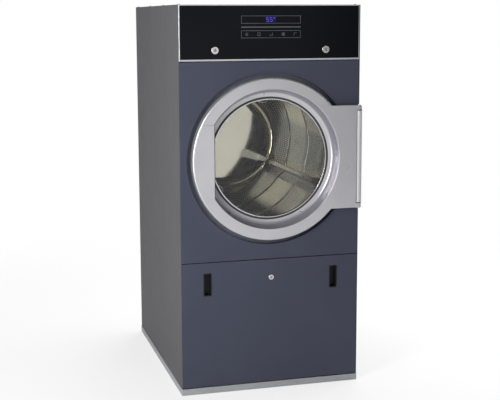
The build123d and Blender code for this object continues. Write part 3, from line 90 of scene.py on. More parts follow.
# Detail of the noise in tone and gloss, and the part of its range that is spread out
TONE_DETAIL, TONE_RANGE = 4.0, (0.3, 0.7)
GLOSS_DETAIL, GLOSS_RANGE = 3.0, (0.25, 0.75)


def linear(code: str) -> Tuple[float, float, float, float]:
    """Turn an sRGB hex colour into linear light.

    Args:
        code: Six hex digits, with or without a leading sign.

    Returns:
        Red, green, blue and an alpha of 1.
    """
    digits = code.lstrip("#")
    parts = np.array([int(digits[i:i + 2], 16) for i in (0, 2, 4)]) / 255.0
    low, high = parts / 12.92, ((parts + 0.055) / 1.055) ** 2.4
    red, green, blue = np.where(parts <= 0.04045, low, high)
    return float(red), float(green), float(blue), 1.0


def per_metre(size_mm: float) -> float:
    """Scale of a texture whose features are size_mm wide, on coordinates in metres."""
    return 1000.0 / size_mm


@dataclass
class Nodes:
    """Writer of one shader tree."""

    tree: bpy.types.NodeTree

    @classmethod
    def fresh(cls, owner: Any) -> "Nodes":
        """Empty the tree of a material or world and start on it.

        Args:
            owner: The material or world.

        Returns:
            The writer of its tree.
        """
        owner.use_nodes = True
        owner.node_tree.nodes.clear()
        return cls(owner.node_tree)

    def add(self, kind: str, inputs: Optional[Dict[Any, Any]] = None, **settings: Any) -> bpy.types.Node:
        """Add one shader node with its settings and links.

        Args:
            kind: Blender's name for the node type.
            inputs: Input sockets by name or number, each with a value or with the socket that feeds it.
            settings: Attributes of the node.

        Returns:
            The new node.
        """
        made = self.tree.nodes.new(kind)
        for name, value in settings.items():
            setattr(made, name, value)
        for socket, value in (inputs or {}).items():
            if isinstance(value, Socket):
                self.tree.links.new(value, made.inputs[socket])
            else:
                made.inputs[socket].default_value = value
        return made

    @cached_property
    def place(self) -> Socket:
        """Object coordinates."""
        return self.add("ShaderNodeTexCoord").outputs["Object"]

    def number(self, operation: str, *values: Any) -> Socket:
        """Number worked out from numbers and sockets."""
        return self.add("ShaderNodeMath", dict(enumerate(values)), operation=operation).outputs[0]

    def fold(self, operation: str, values: Iterable[Any]) -> Socket:
        """Number worked out from two values, then from the result and the next value, and so on."""
        return reduce(partial(self.number, operation), values)

    def vector(self, operation: str, *values: Any) -> Socket:
        """Vector worked out from vectors, or the length of one."""
        made = self.add("ShaderNodeVectorMath", dict(enumerate(values)), operation=operation)
        return made.outputs[1 if operation == "LENGTH" else 0]

    def ramp(self, value: Socket, start: float, end: float, low: float = 0.0, high: float = 1.0,
             smooth: bool = False) -> Socket:
        """Carry a value from one range to another, and hold it at the ends.

        Args:
            value: Socket with the value.
            start: Value that becomes low.
            end: Value that becomes high.
            low: Result at the start.
            high: Result at the end.
            smooth: Whether it leaves both ends softly.

        Returns:
            Socket with the result.
        """
        inputs = {"Value": value, "From Min": start, "From Max": end, "To Min": low, "To Max": high}
        kind = "SMOOTHSTEP" if smooth else "LINEAR"
        return self.add("ShaderNodeMapRange", inputs, interpolation_type=kind).outputs[0]

    def blend(self, share: Socket, one: Any, other: Any) -> Socket:
        """Colour between two colours."""
        return self.add("ShaderNodeMix", {0: share, 6: one, 7: other}, data_type="RGBA").outputs[2]

    def either(self, share: Socket, one: Socket, other: Socket) -> Socket:
        """Shader between two shaders."""
        return self.add("ShaderNodeMixShader", {0: share, 1: one, 2: other}).outputs[0]

    def glow(self, colour: Any) -> Socket:
        """Shader that gives off a colour with a strength of 1."""
        return self.add("ShaderNodeEmission", {"Color": colour, "Strength": 1.0}).outputs[0]

    def noise(self, size_mm: float, detail: float, along: Point = (1.0, 1.0, 1.0)) -> Socket:
        """Noise whose features are size_mm wide, drawn out along the axes."""
        drawn = self.add("ShaderNodeMapping", {0: self.place, "Scale": along}).outputs[0]
        return self.add("ShaderNodeTexNoise", {0: drawn, "Scale": per_metre(size_mm), "Detail": detail}).outputs[0]

    def cells(self, size_mm: float, output: str) -> Socket:
        """Voronoi cells that are size_mm wide, as the named output gives them."""
        return self.add("ShaderNodeTexVoronoi", {0: self.place, "Scale": per_metre(size_mm)}).outputs[output]

    def from_axis(self) -> Socket:
        """Where a point lies from the drum's axis: to the right of it, along it and above it."""
        return self.vector("SUBTRACT", self.place, AXIS)

    def between(self, value: Socket, limits_mm: Pair) -> Socket:
        """1 where a length lies between two limits, and 0 elsewhere."""
        low, high = limits_mm
        return self.number("COMPARE", value, (low + high) / 2 * MM, (high - low) / 2 * MM)

    def seen(self) -> Socket:
        """1 for a ray from the eye, a mirror or glass, and 0 for one from a matt surface."""
        ray = self.add("ShaderNodeLightPath").outputs
        return self.fold("MAXIMUM", (ray[f"Is {way} Ray"] for way in ("Camera", "Glossy", "Transmission")))


class Relief(Enum):
    """How a surface was made, which decides the pattern in its relief."""

    PEEL = "sprayed and baked paint, with a soft orange peel"
    GRAIN = "moulded against an etched tool"
    ROLLED = "rolled sheet, with fine lines along one direction"
    SPANGLE = "hot-dip zinc, with crystals that catch the light differently"
    CAST = "sand cast, with a coarse skin"
    FIBRE = "felted fibres"
    FLOAT = "float glass or polished panel, with a trace of wiping"


@dataclass(frozen=True)
class Finish:
    """One material: what it is made of and how its surface was made.

    Sizes are real ones in millimetres. A pattern that is too fine for the picture is drawn coarser,
    and its comment says so.
    """

    name: str
    colour: str
    second: str
    roughness: float
    relief: Relief
    metallic: float = 0.0
    specular: float = 0.5
    transmission: float = 0.0
    glow: float = 0.0
    tone_mm: float = 240.0
    gloss_mm: float = 60.0
    gloss_shift: float = 0.05
    relief_mm: float = 2.0
    depth_mm: float = 0.02
    detail: float = 2.0
    along: Point = (1.0, 1.0, 1.0)

    def like(self, name: str, colour: str, second: str, roughness: float, **changes: Any) -> "Finish":
        """Finish that differs from this one in its tones, its roughness and what else is said."""
        return replace(self, name=name, colour=colour, second=second, roughness=roughness, **changes)

    def material(self) -> bpy.types.Material:
        """Make the Blender material, or return the one that was made before.

        Returns:
            A material whose colour, roughness and relief come from nodes.
        """
        known = bpy.data.materials.get(self.name)
        if known is not None:
            return known
        made = bpy.data.materials.new(self.name)
        nodes = Nodes.fresh(made)
        tone = self.tone(nodes)
        shader = nodes.add("ShaderNodeBsdfPrincipled", {
            "Metallic": self.metallic,
            "Specular IOR Level": self.specular,
            "Transmission Weight": self.transmission,
            "Base Color": tone,
            "Roughness": self.gloss(nodes),
            "Normal": self.bump(nodes),
        })
        if self.glow > 0.0:
            nodes.tree.links.new(tone, shader.inputs["Emission Color"])
            shader.inputs["Emission Strength"].default_value = self.glow
        surface = shader.outputs[0]
        if self.transmission > 0.0:
            surface = self.light_through(nodes, surface)
        nodes.add("ShaderNodeOutputMaterial", {"Surface": surface})
        return made

    def tone(self, nodes: Nodes) -> Socket:
        """Colour that wanders between the finish's two tones, in patches or zinc crystals.

        Args:
            nodes: Writer of the material's tree.

        Returns:
            Socket with the colour.
        """
        if self.relief is Relief.SPANGLE:
            share = nodes.cells(self.tone_mm, "Color")
        else:
            share = nodes.noise(self.tone_mm, TONE_DETAIL, self.along)
        return nodes.blend(nodes.ramp(share, *TONE_RANGE), linear(self.colour), linear(self.second))

    def gloss(self, nodes: Nodes) -> Socket:
        """Roughness that wanders a little, as wiping and handling leave it."""
        low, high = max(self.roughness - self.gloss_shift, 0.0), self.roughness + self.gloss_shift
        return nodes.ramp(nodes.noise(self.gloss_mm, GLOSS_DETAIL), *GLOSS_RANGE, low, high)

    def bump(self, nodes: Nodes) -> Socket:
        """Normals of the surface's fine relief.

        Args:
            nodes: Writer of the material's tree.

        Returns:
            Socket with the normal.
        """
        if self.relief is Relief.GRAIN:
            height = nodes.cells(self.relief_mm, "Distance")
        else:
            height = nodes.noise(self.relief_mm, self.detail, self.along)
        inputs = {"Height": height, "Distance": self.depth_mm * MM, "Strength": 1.0}
        return nodes.add("ShaderNodeBump", inputs).outputs[0]

    def light_through(self, nodes: Nodes, surface: Socket) -> Socket:
        """Let lamp light pass a clear pane without bending, so that what lies behind it is lit."""
        ray, clear = nodes.add("ShaderNodeLightPath"), nodes.add("ShaderNodeBsdfTransparent", {0: linear(self.second)})
        return nodes.either(ray.outputs["Is Shadow Ray"], surface, clear.outputs[0])


@dataclass(frozen=True)
class PunchedSteel(Finish):
    """Polished sheet with a field of fine punched holes on a cylinder about the drum's axis, drawn as patches of
    painted shade.
    """

    pitch_mm: float = 9.0
    hole_mm: float = 3.4
    # Painted shade: the tone drawn in each hole, for the shaded gap seen through it
    hole_shade_colour: str = "#8f8b80"
    hole_edge: Pair = (1.1, 0.9)
    radius_mm: float = 375.0
    field_mm: Pair = (-415.0, 70.0)

    def tone(self, nodes: Nodes) -> Socket:
        """Colour of the sheet, with painted shade in the holes: a darker tone that stands in for the shaded gap seen
        through each hole.

        A point's angle about the axis and its depth are counted in pitches. The hole whose middle is
        nearest lies in one of two square lattices, half a step apart, which make a staggered pattern.

        Args:
            nodes: Writer of the material's tree.

        Returns:
            Socket with the colour.
        """
        half_step, rows = (0.5, 0.5, 0.0), math.sqrt(3.0)
        columns = round(2 * math.pi * self.radius_mm / self.pitch_mm)
        right, deep, raised = nodes.add("ShaderNodeSeparateXYZ", {0: nodes.from_axis()}).outputs
        across = nodes.number("MULTIPLY", nodes.number("ARCTAN2", raised, right), columns / (2 * math.pi))
        along = nodes.number("MULTIPLY", deep, per_metre(self.pitch_mm * rows))
        steps = nodes.add("ShaderNodeCombineXYZ", {0: across, 1: along}).outputs[0]
        distances = []
        for lattice in (steps, nodes.vector("ADD", steps, half_step)):
            centred = nodes.vector("SUBTRACT", nodes.vector("FRACTION", lattice), half_step)
            distances.append(nodes.vector("LENGTH", nodes.vector("MULTIPLY", centred, (1.0, rows, 0.0))))
        outside, inside = (self.hole_mm / 2 / self.pitch_mm * share for share in self.hole_edge)
        hole = nodes.ramp(nodes.number("MINIMUM", *distances), outside, inside)
        share = nodes.number("MULTIPLY", hole, nodes.between(deep, self.field_mm))
        return nodes.blend(share, super().tone(nodes), linear(self.hole_shade_colour))


@dataclass(frozen=True)
class BandedFinish(Finish):
    """Finish of a turned piece that has another tone between two radii about the drum's axis."""

    band_colour: str = "#a19ea8"
    band_mm: Pair = (288.5, 303.0)

    def tone(self, nodes: Nodes) -> Socket:
        """Colour of the piece, changed where the distance from the axis lies in the band."""
        radius = nodes.vector("LENGTH", nodes.vector("MULTIPLY", nodes.from_axis(), (1.0, 0.0, 1.0)))
        return nodes.blend(nodes.between(radius, self.band_mm), super().tone(nodes), linear(self.band_colour))


# Polyester powder coat on sheet steel: satin, with a soft orange peel drawn at 4 mm so that it shows
SIDE_PAINT = Finish("satin_grey_powder_coat", "#545457", "#525255", 0.55, Relief.PEEL, specular=0.1, gloss_shift=0.02,
                    relief_mm=4.0, depth_mm=0.006)
FRONT_PAINT = SIDE_PAINT.like("slate_blue_powder_coat", "#444755", "#414452", 0.42, specular=0.12, depth_mm=0.008)
PLINTH_PAINT = Finish("pale_grey_powder_coat", "#9d9fa2", "#97999c", 0.5, Relief.PEEL, gloss_shift=0.03, relief_mm=4.0,
                      depth_mm=0.01)
DOOR_BACK_PAINT = PLINTH_PAINT.like("mid_grey_powder_coat", "#7a7a7d", "#737376", 0.45)
MOTOR_PAINT = Finish("motor_grey_enamel", "#3f444a", "#383d43", 0.45, Relief.PEEL, relief_mm=5.0, depth_mm=0.03)
# Aluminium lacquer: fine metal flakes under a satin clear coat, which brighten softly towards the light
SILVER_PAINT = Finish("silver_lacquer", "#bfbec1", "#b9b8bc", 0.3, Relief.PEEL, metallic=0.6, specular=0.4,
                      gloss_shift=0.03, relief_mm=3.0, depth_mm=0.004, tone_mm=120.0)
# The ring's inner cone is drawn a tone darker, between two radii
RING_PAINT = BandedFinish(**{**vars(SILVER_PAINT), "name": "silver_lacquer_darker_cone"})
# Satin lacquer of the fixed hinge post, with little metal in it
POST_PAINT = SILVER_PAINT.like("satin_silver_lacquer", "#c2c1c4", "#bcbbbf", 0.6, metallic=0.15, specular=0.3)
# Extruded, satin-anodised aluminium, with the faint lines of the die along its length
ANODISED = Finish("satin_anodised_aluminium", "#c4c4c7", "#bcbcbf", 0.42, Relief.ROLLED, metallic=0.6, gloss_shift=0.03,
                  relief_mm=1.5, depth_mm=0.002, along=(0.02, 1.0, 1.0))
# Hot-dip galvanised sheet with zinc crystals of about 14 mm
GALVANISED = Finish("galvanised_sheet", "#a4a8aa", "#9ba0a2", 0.42, Relief.SPANGLE, metallic=0.8, tone_mm=14.0,
                    relief_mm=10.0, depth_mm=0.01)
# Bright-rolled, polished stainless steel of the drum, punched with fine holes drawn at a 9 mm pitch, their darker tone
# painted shade;
# the sheet's slight waviness breaks up what it mirrors
DRUM_STEEL = PunchedSteel("punched_bright_stainless", "#b4b0a3", "#aaa699", 0.1, Relief.ROLLED, metallic=1.0,
                          relief_mm=120.0, depth_mm=0.12, detail=0.0, tone_mm=260.0, gloss_shift=0.03)
# The drum's back: a polished middle, and a duller band that holds the punched holes
BACK_STEEL = BandedFinish("polished_stainless_wall", "#cbc6b6", "#c4bfb0", 0.045, Relief.ROLLED, metallic=1.0,
                          relief_mm=200.0, depth_mm=0.06, detail=0.0, tone_mm=260.0, gloss_shift=0.015,
                          band_colour="#b6b2a7", band_mm=(246.0, 339.0))
LIFTER_STEEL = Finish("bright_stainless_lifter", "#b6b2a6", "#aeaa9e", 0.14, Relief.ROLLED, metallic=1.0,
                      relief_mm=60.0, depth_mm=0.05, detail=0.0, gloss_shift=0.04)
# Rolled bead of the shell, dulled by the laundry that rubs on it; its lighter tone is a painted highlight, the bright
# line along the bead
BEAD_HIGHLIGHT_STEEL = LIFTER_STEEL.like("rubbed_bead_painted_highlight", "#d6d3ca", "#cdcac1", 0.36, depth_mm=0.02, gloss_shift=0.05)
BRIGHT_STEEL = Finish("bright_stainless_bead", "#d0d0d0", "#c6c6c6", 0.16, Relief.ROLLED, metallic=1.0, relief_mm=4.0,
                      depth_mm=0.004)
NICKEL = BRIGHT_STEEL.like("bright_nickel_plate", "#d6d3cd", "#c6c3bd", 0.18, relief_mm=1.0, tone_mm=10.0)
# Zinc-plated turned steel
ZINC = Finish("zinc_plated_steel", "#a9abac", "#9b9d9f", 0.32, Relief.ROLLED, metallic=1.0, relief_mm=1.5,
              depth_mm=0.01, along=(1.0, 0.1, 1.0))
# Grey cast iron with a sand-cast skin of about 3 mm grains
CAST_IRON = Finish("grey_cast_iron", "#54575a", "#484b4e", 0.6, Relief.CAST, metallic=0.6, relief_mm=3.0, depth_mm=0.12)
# Glass-filled nylon, moulded with a fine etched grain drawn at 1.6 mm
BLACK_NYLON = Finish("black_moulded_nylon", "#161618", "#121214", 0.5, Relief.GRAIN, specular=0.25, relief_mm=1.6,
                     depth_mm=0.03)
# Painted light: the surround's tone is lighter than the front paint it matches, to offset the shade on its recess wall
# facing away from the key lamp
SURROUND_LIGHTENED = BLACK_NYLON.like("slate_surround_painted_light", "#5f626e", "#5b5e6a", 0.5)
# Extruded rubber, dull and slightly bloomed
RUBBER = Finish("black_epdm_rubber", "#19191a", "#222223", 0.62, Relief.GRAIN, specular=0.3, relief_mm=2.2,
                depth_mm=0.04)
PALE_RUBBER = RUBBER.like("grey_silicone_rubber", "#3c3c40", "#37373b", 0.55, depth_mm=0.03)
# Pressed wool felt of about 2 mm fibres
FELT = Finish("pressed_wool_felt", "#b9ae94", "#a89d84", 0.95, Relief.FIBRE, specular=0.1, relief_mm=2.0, depth_mm=0.5)
# Back-printed acrylic panel, polished, with a trace of wiping
BLACK_PANEL = Finish("back_printed_black_acrylic", "#131419", "#111217", 0.1, Relief.FLOAT, specular=0.05,
                     relief_mm=400.0, depth_mm=0.1, gloss_mm=150.0, gloss_shift=0.03)
# Toughened float glass
DOOR_PANE = Finish("toughened_float_glass", "#fbfcfb", "#f4f6f5", 0.0, Relief.FLOAT, transmission=1.0, relief_mm=500.0,
                   depth_mm=0.02, detail=0.0, gloss_shift=0.004)
# Screen-printed ink, the display's filter and its lit segments
INK = Finish("grey_screen_ink", "#64656b", "#5c5d63", 0.5, Relief.GRAIN, relief_mm=1.0, depth_mm=0.01)
WINDOW_INK = Finish("violet_display_filter", "#1d1650", "#191346", 0.3, Relief.FLOAT, specular=0.1, tone_mm=20.0,
                    relief_mm=50.0, depth_mm=0.01)
LIT = Finish("lit_violet_segment", "#564ab8", "#463ca6", 0.4, Relief.FLOAT, glow=0.5, tone_mm=12.0, relief_mm=5.0,
             depth_mm=0.01)
# Epoxy board with solder mask
BOARD = Finish("green_solder_mask", "#23503a", "#1d4431", 0.35, Relief.GRAIN, tone_mm=8.0, relief_mm=6.0, depth_mm=0.1)
# Pale painted floor of the studio
FLOOR_PAINT = Finish("pale_studio_floor", "#f1f1f1", "#efefef", 0.7, Relief.PEEL, specular=0.2, tone_mm=900.0,
                     relief_mm=30.0, depth_mm=0.02)


def stacked(*columns: Any) -> np.ndarray:
    """Numbers and arrays spread to one shape and set side by side along a last axis."""
    return np.stack(np.broadcast_arrays(*columns), -1)


def boxes(edges: np.ndarray) -> Mesh:
    """Closed boxes: each corner is the lowest one plus a 0-1 pattern times the span.

    Args:
        edges: Left, near, low, right, far and high edges, one row a box.

    Returns:
        Vertices and four-sided faces that point outwards.
    """
    unit = np.array([[0, 0, 0], [1, 0, 0], [1, 1, 0], [0, 1, 0], [0, 0, 1], [1, 0, 1], [1, 1, 1], [0, 1, 1]], float)
    quads = np.array([[0, 3, 2, 1], [4, 5, 6, 7], [0, 1, 5, 4], [1, 2, 6, 5], [2, 3, 7, 6], [3, 0, 4, 7]])
    lows, highs = edges[:, None, :3], edges[:, None, 3:]
    faces = quads + len(unit) * np.arange(len(edges))[:, None, None]
    return (lows + unit * (highs - lows)).reshape(-1, 3), faces.reshape(-1, 4).tolist()


def grid_faces(rows: int, columns: int, round_rows: bool, round_columns: bool) -> np.ndarray:
    """Four-sided faces of a grid of points, closed on itself where asked.

    Args:
        rows: Points along the first parameter.
        columns: Points along the second parameter.
        round_rows: Whether the last row meets the first.
        round_columns: Whether the last column meets the first.

    Returns:
        Indices of the corners, one face a row.
    """
    row = np.arange(rows if round_rows else rows - 1)[:, None]
    column = np.arange(columns if round_columns else columns - 1)[None, :]
    next_row, next_column = (row + 1) % rows, (column + 1) % columns
    return stacked(row * columns + column, row * columns + next_column,
                   next_row * columns + next_column, next_row * columns + column).reshape(-1, 4)


def around_axis(radius: np.ndarray, depth: np.ndarray, angle: np.ndarray, height: float) -> np.ndarray:
    """Points at radii and angles, from +X towards +Z, about an axis at a height, and at depths along it."""
    return stacked(radius * np.cos(angle), depth, height + radius * np.sin(angle)).reshape(-1, 3)


def once_round(columns: int) -> np.ndarray:
    """Angles of evenly spaced columns, once round."""
    return 2 * math.pi / columns * np.arange(columns)


def piece(name: str, mesh: Mesh, finish: Finish, body: str, smooth: bool = False) -> bpy.types.Object:
    """Put a mesh into the scene as a piece that rides on a body.

    Args:
        name: Name of the piece.
        mesh: Vertices and faces.
        finish: Its material.
        body: The body that it rides on.
        smooth: Whether its faces are shaded smooth.

    Returns:
        The new object.
    """
    points, faces = mesh
    data = bpy.data.meshes.new(name)
    data.from_pydata(points.tolist(), [], faces)
    data.polygons.foreach_set("use_smooth", np.full(len(data.polygons), smooth))
    if smooth:
        data.set_sharp_from_angle(angle=SHARP_ANGLE)
    data.update()
    data.materials.append(finish.material())
    made = bpy.data.objects.new(name, data)
    bpy.context.scene.collection.objects.link(made)
    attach(made, body)
    LOG.info("piece %s: %d faces on %s", name, len(faces), body)
    return made


@dataclass
class Assembly:
    """Sub-assembly of the loaded frame, with the finishes of its solids."""

    frame: Frame
    finishes: ClassVar[Dict[Finish, Tuple[str, ...]]] = {}

    def build(self) -> None:
        """Give the carried-over solids their finishes."""
        for finish, names in self.finishes.items():
            for name in names:
                slots = self.frame["nodes"][name].data.materials
                slots.clear()
                slots.append(finish.material())
        LOG.info("%s dressed", type(self).__name__)


@dataclass
class Cabinet(Assembly):
    """Sheets of the cabinet, its base and its rear."""

    finishes = {
        SIDE_PAINT: ("side_panel_left", "side_panel_right", "top_panel"),
        FRONT_PAINT: ("front_panel",),
        PLINTH_PAINT: ("base_pan",),
        MOTOR_PAINT: ("front_crossbar",),
        GALVANISED: ("rear_panel", "rear_cover", "exhaust_collar", "front_bulkhead", "rear_bulkhead",
                     "drum_casing", "heater_box", "electrics_box", "drawer_rails"),
        BLACK_NYLON: ("cable_gland",),
        ZINC: ("cover_screws", "fascia_pivots"),
        SURROUND_LIGHTENED: ("door_surround",),
        FELT: ("felt_seal",),
    }


@dataclass
class Door(Assembly):
    """Turned door ring with its window, handle plate and hinge. Sizes in metres."""

    finishes = {
        RING_PAINT: ("door_ring",),
        SILVER_PAINT: ("handle_plate", "hinge_plate"),
        POST_PAINT: ("hinge_post",),
        DOOR_BACK_PAINT: ("door_back",),
        RUBBER: ("door_gasket",),
        PALE_RUBBER: ("glass_seal",),
        DOOR_PANE: ("door_glass",),
        BRIGHT_STEEL: ("glass_trim",),
        ZINC: ("hinge_pin", "door_striker"),
        BLACK_NYLON: ("door_magnet",),
    }

    # Dark strip on the handle plate's edge: painted shade for the shadow line there
    shade_strip_reach: float = 0.003
    shade_strip_half: float = 0.0035
    shade_strip_trim: float = 0.003
    shade_strip_gap: float = 0.0002
    shade_strip_points: int = 9
    shade_strip_rows: int = 12
    shade_strip_ends: Tuple[float, ...] = (0.0, 0.004, 0.012, 0.03)
    shade_strip_power: int = 60
    shade_strip_least: float = 0.0025
    face_width: float = 0.0505
    cone: Pair = (0.016, -0.048)
    band: Pair = (-0.018, 0.003)
    sweep_radius: float = 0.012
    sweep_sunk: float = 0.0006
    sweep_points: int = 11
    sweep_columns: int = 240
    # Dark rings at the hinge post's ends: painted shade for the gaps at the knuckles
    gap_ring_height: float = 0.0034
    gap_ring_proud: float = 0.0004
    gap_ring_points: int = 7
    gap_ring_columns: int = 48

    def gap_shade_rings(self, pin: Vector, radius: float, low: float, high: float) -> Mesh:
        """Black nylon rings at both ends of the hinge post, whose black is painted shade for the dark gaps at the
        knuckles: a bulging section carried about the pin.

        The bulge is half a sine wave, and two points sunk into the post close the section.

        Args:
            pin: A point on the pin.
            radius: Radius of the post.
            low: Lower end of the post.
            high: Upper end of the post.

        Returns:
            Vertices and faces of two closed rings.
        """
        share, proud = np.linspace(0.0, 1.0, self.gap_ring_points), self.gap_ring_proud
        reach = np.append(radius + proud * np.sin(math.pi * share), [radius - proud] * 2)[:, None]
        level = self.gap_ring_height * np.append(share, [1.0, 0.0])[:, None]
        bases = np.array([low, high - self.gap_ring_height])[:, None, None]
        angle = once_round(self.gap_ring_columns)
        points = stacked(pin.x + reach * np.cos(angle), pin.y + reach * np.sin(angle), bases + level)
        ring = grid_faces(len(reach), self.gap_ring_columns, True, True)
        faces = np.concatenate([ring, ring + len(reach) * self.gap_ring_columns])
        return points.reshape(-1, 3), faces.tolist()

    def sweep(self, valley: np.ndarray, height: float) -> Mesh:
        """Rounded foot of the ring's cone: an arc that touches the cone and the band, carried about the axis.

        The arc's middle lies on the line that halves the angle of the two. A last row, sunk into the ring
        behind their corner, closes the section.

        Args:
            valley: Radius and depth of the corner where the cone meets the band.
            height: Height of the axis.

        Returns:
            Vertices and faces of the closed ring.
        """
        cone, band = (np.array(way) / np.linalg.norm(way) for way in (self.cone, self.band))
        half = math.acos(float(cone @ band)) / 2
        halving = (cone + band) / np.linalg.norm(cone + band)
        centre = valley + halving * self.sweep_radius / math.sin(half)
        spread = (math.pi / 2 - half) * np.linspace(-1.0, 1.0, self.sweep_points)
        aim = math.atan2(-halving[1], -halving[0]) + spread
        arc = centre + self.sweep_radius * stacked(np.cos(aim), np.sin(aim))
        section = np.concatenate([arc, [valley - self.sweep_sunk * halving]])
        points = around_axis(section[:, :1], section[:, 1:], once_round(self.sweep_columns), height)
        return points, grid_faces(len(section), self.sweep_columns, True, True).tolist()

    def edge_shade_strip(self, edge: float, front: float, low: float, high: float) -> Mesh:
        """Dark rubber strip on the handle plate's free edge, painted shade for the shadow line there: a half-round
        section drawn up along the edge.

        Its ends taper, because a high power of the distance from the middle shrinks the section there.

        Args:
            edge: Place of the edge across the door.
            front: Depth of the plate's face.
            low: Lower end.
            high: Upper end.

        Returns:
            Vertices and faces of the closed strip.
        """
        ends, section = np.array(self.shade_strip_ends), np.arange(self.shade_strip_points)
        turn = np.linspace(-math.pi / 2, math.pi / 2, self.shade_strip_points)
        body = np.linspace(ends[-1], 1.0 - ends[-1], self.shade_strip_rows)[1:-1]
        share = np.concatenate([ends, body, 1.0 - ends[::-1]])[:, None]
        size = np.sqrt(np.clip(1.0 - (2.0 * np.abs(share - 0.5)) ** self.shade_strip_power, self.shade_strip_least, 1.0))
        middle = front + self.shade_strip_half + self.shade_strip_gap
        points = stacked(edge + self.shade_strip_reach * size * np.cos(turn),
                         middle + self.shade_strip_half * size * np.sin(turn), low + (high - low) * share)
        quads = grid_faces(len(share), len(section), False, True)
        caps = [section[::-1].tolist(), (section + len(section) * (len(share) - 1)).tolist()]
        return points.reshape(-1, 3), quads.tolist() + caps

    def build(self) -> None:
        """Dress the door's solids, and add the dark strip on the handle's edge and the dark rings at the hinge's ends,
        both painted shade, and the foot of the cone.
        """
        super().build()
        # Painted shade: a black strip along the handle plate's free edge, for the shadow line beside it
        low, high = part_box("handle_plate")
        shade_strip = self.edge_shade_strip(high.x, low.y, low.z + self.shade_strip_trim, high.z - self.shade_strip_trim)
        piece("handle_edge_shade_strip", shade_strip, RUBBER, "door", True)
        # Painted shade: black rings at the post's ends, for the shadowed gaps between post and knuckles
        low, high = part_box("hinge_pin")
        pin = (low + high) / 2
        low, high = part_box("hinge_post")
        gap_shade_rings = self.gap_shade_rings(pin, high.x - pin.x, low.z, high.z)
        piece("hinge_gap_shade_rings", gap_shade_rings, BLACK_NYLON, "cabinet", True)
        low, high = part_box("door_ring")
        inner = (high.x - low.x) / 2 - self.face_width
        valley = np.array([inner - self.cone[0], low.y - self.cone[1]])
        piece("ring_sweep", self.sweep(valley, (low.z + high.z) / 2), SILVER_PAINT, "door", True)


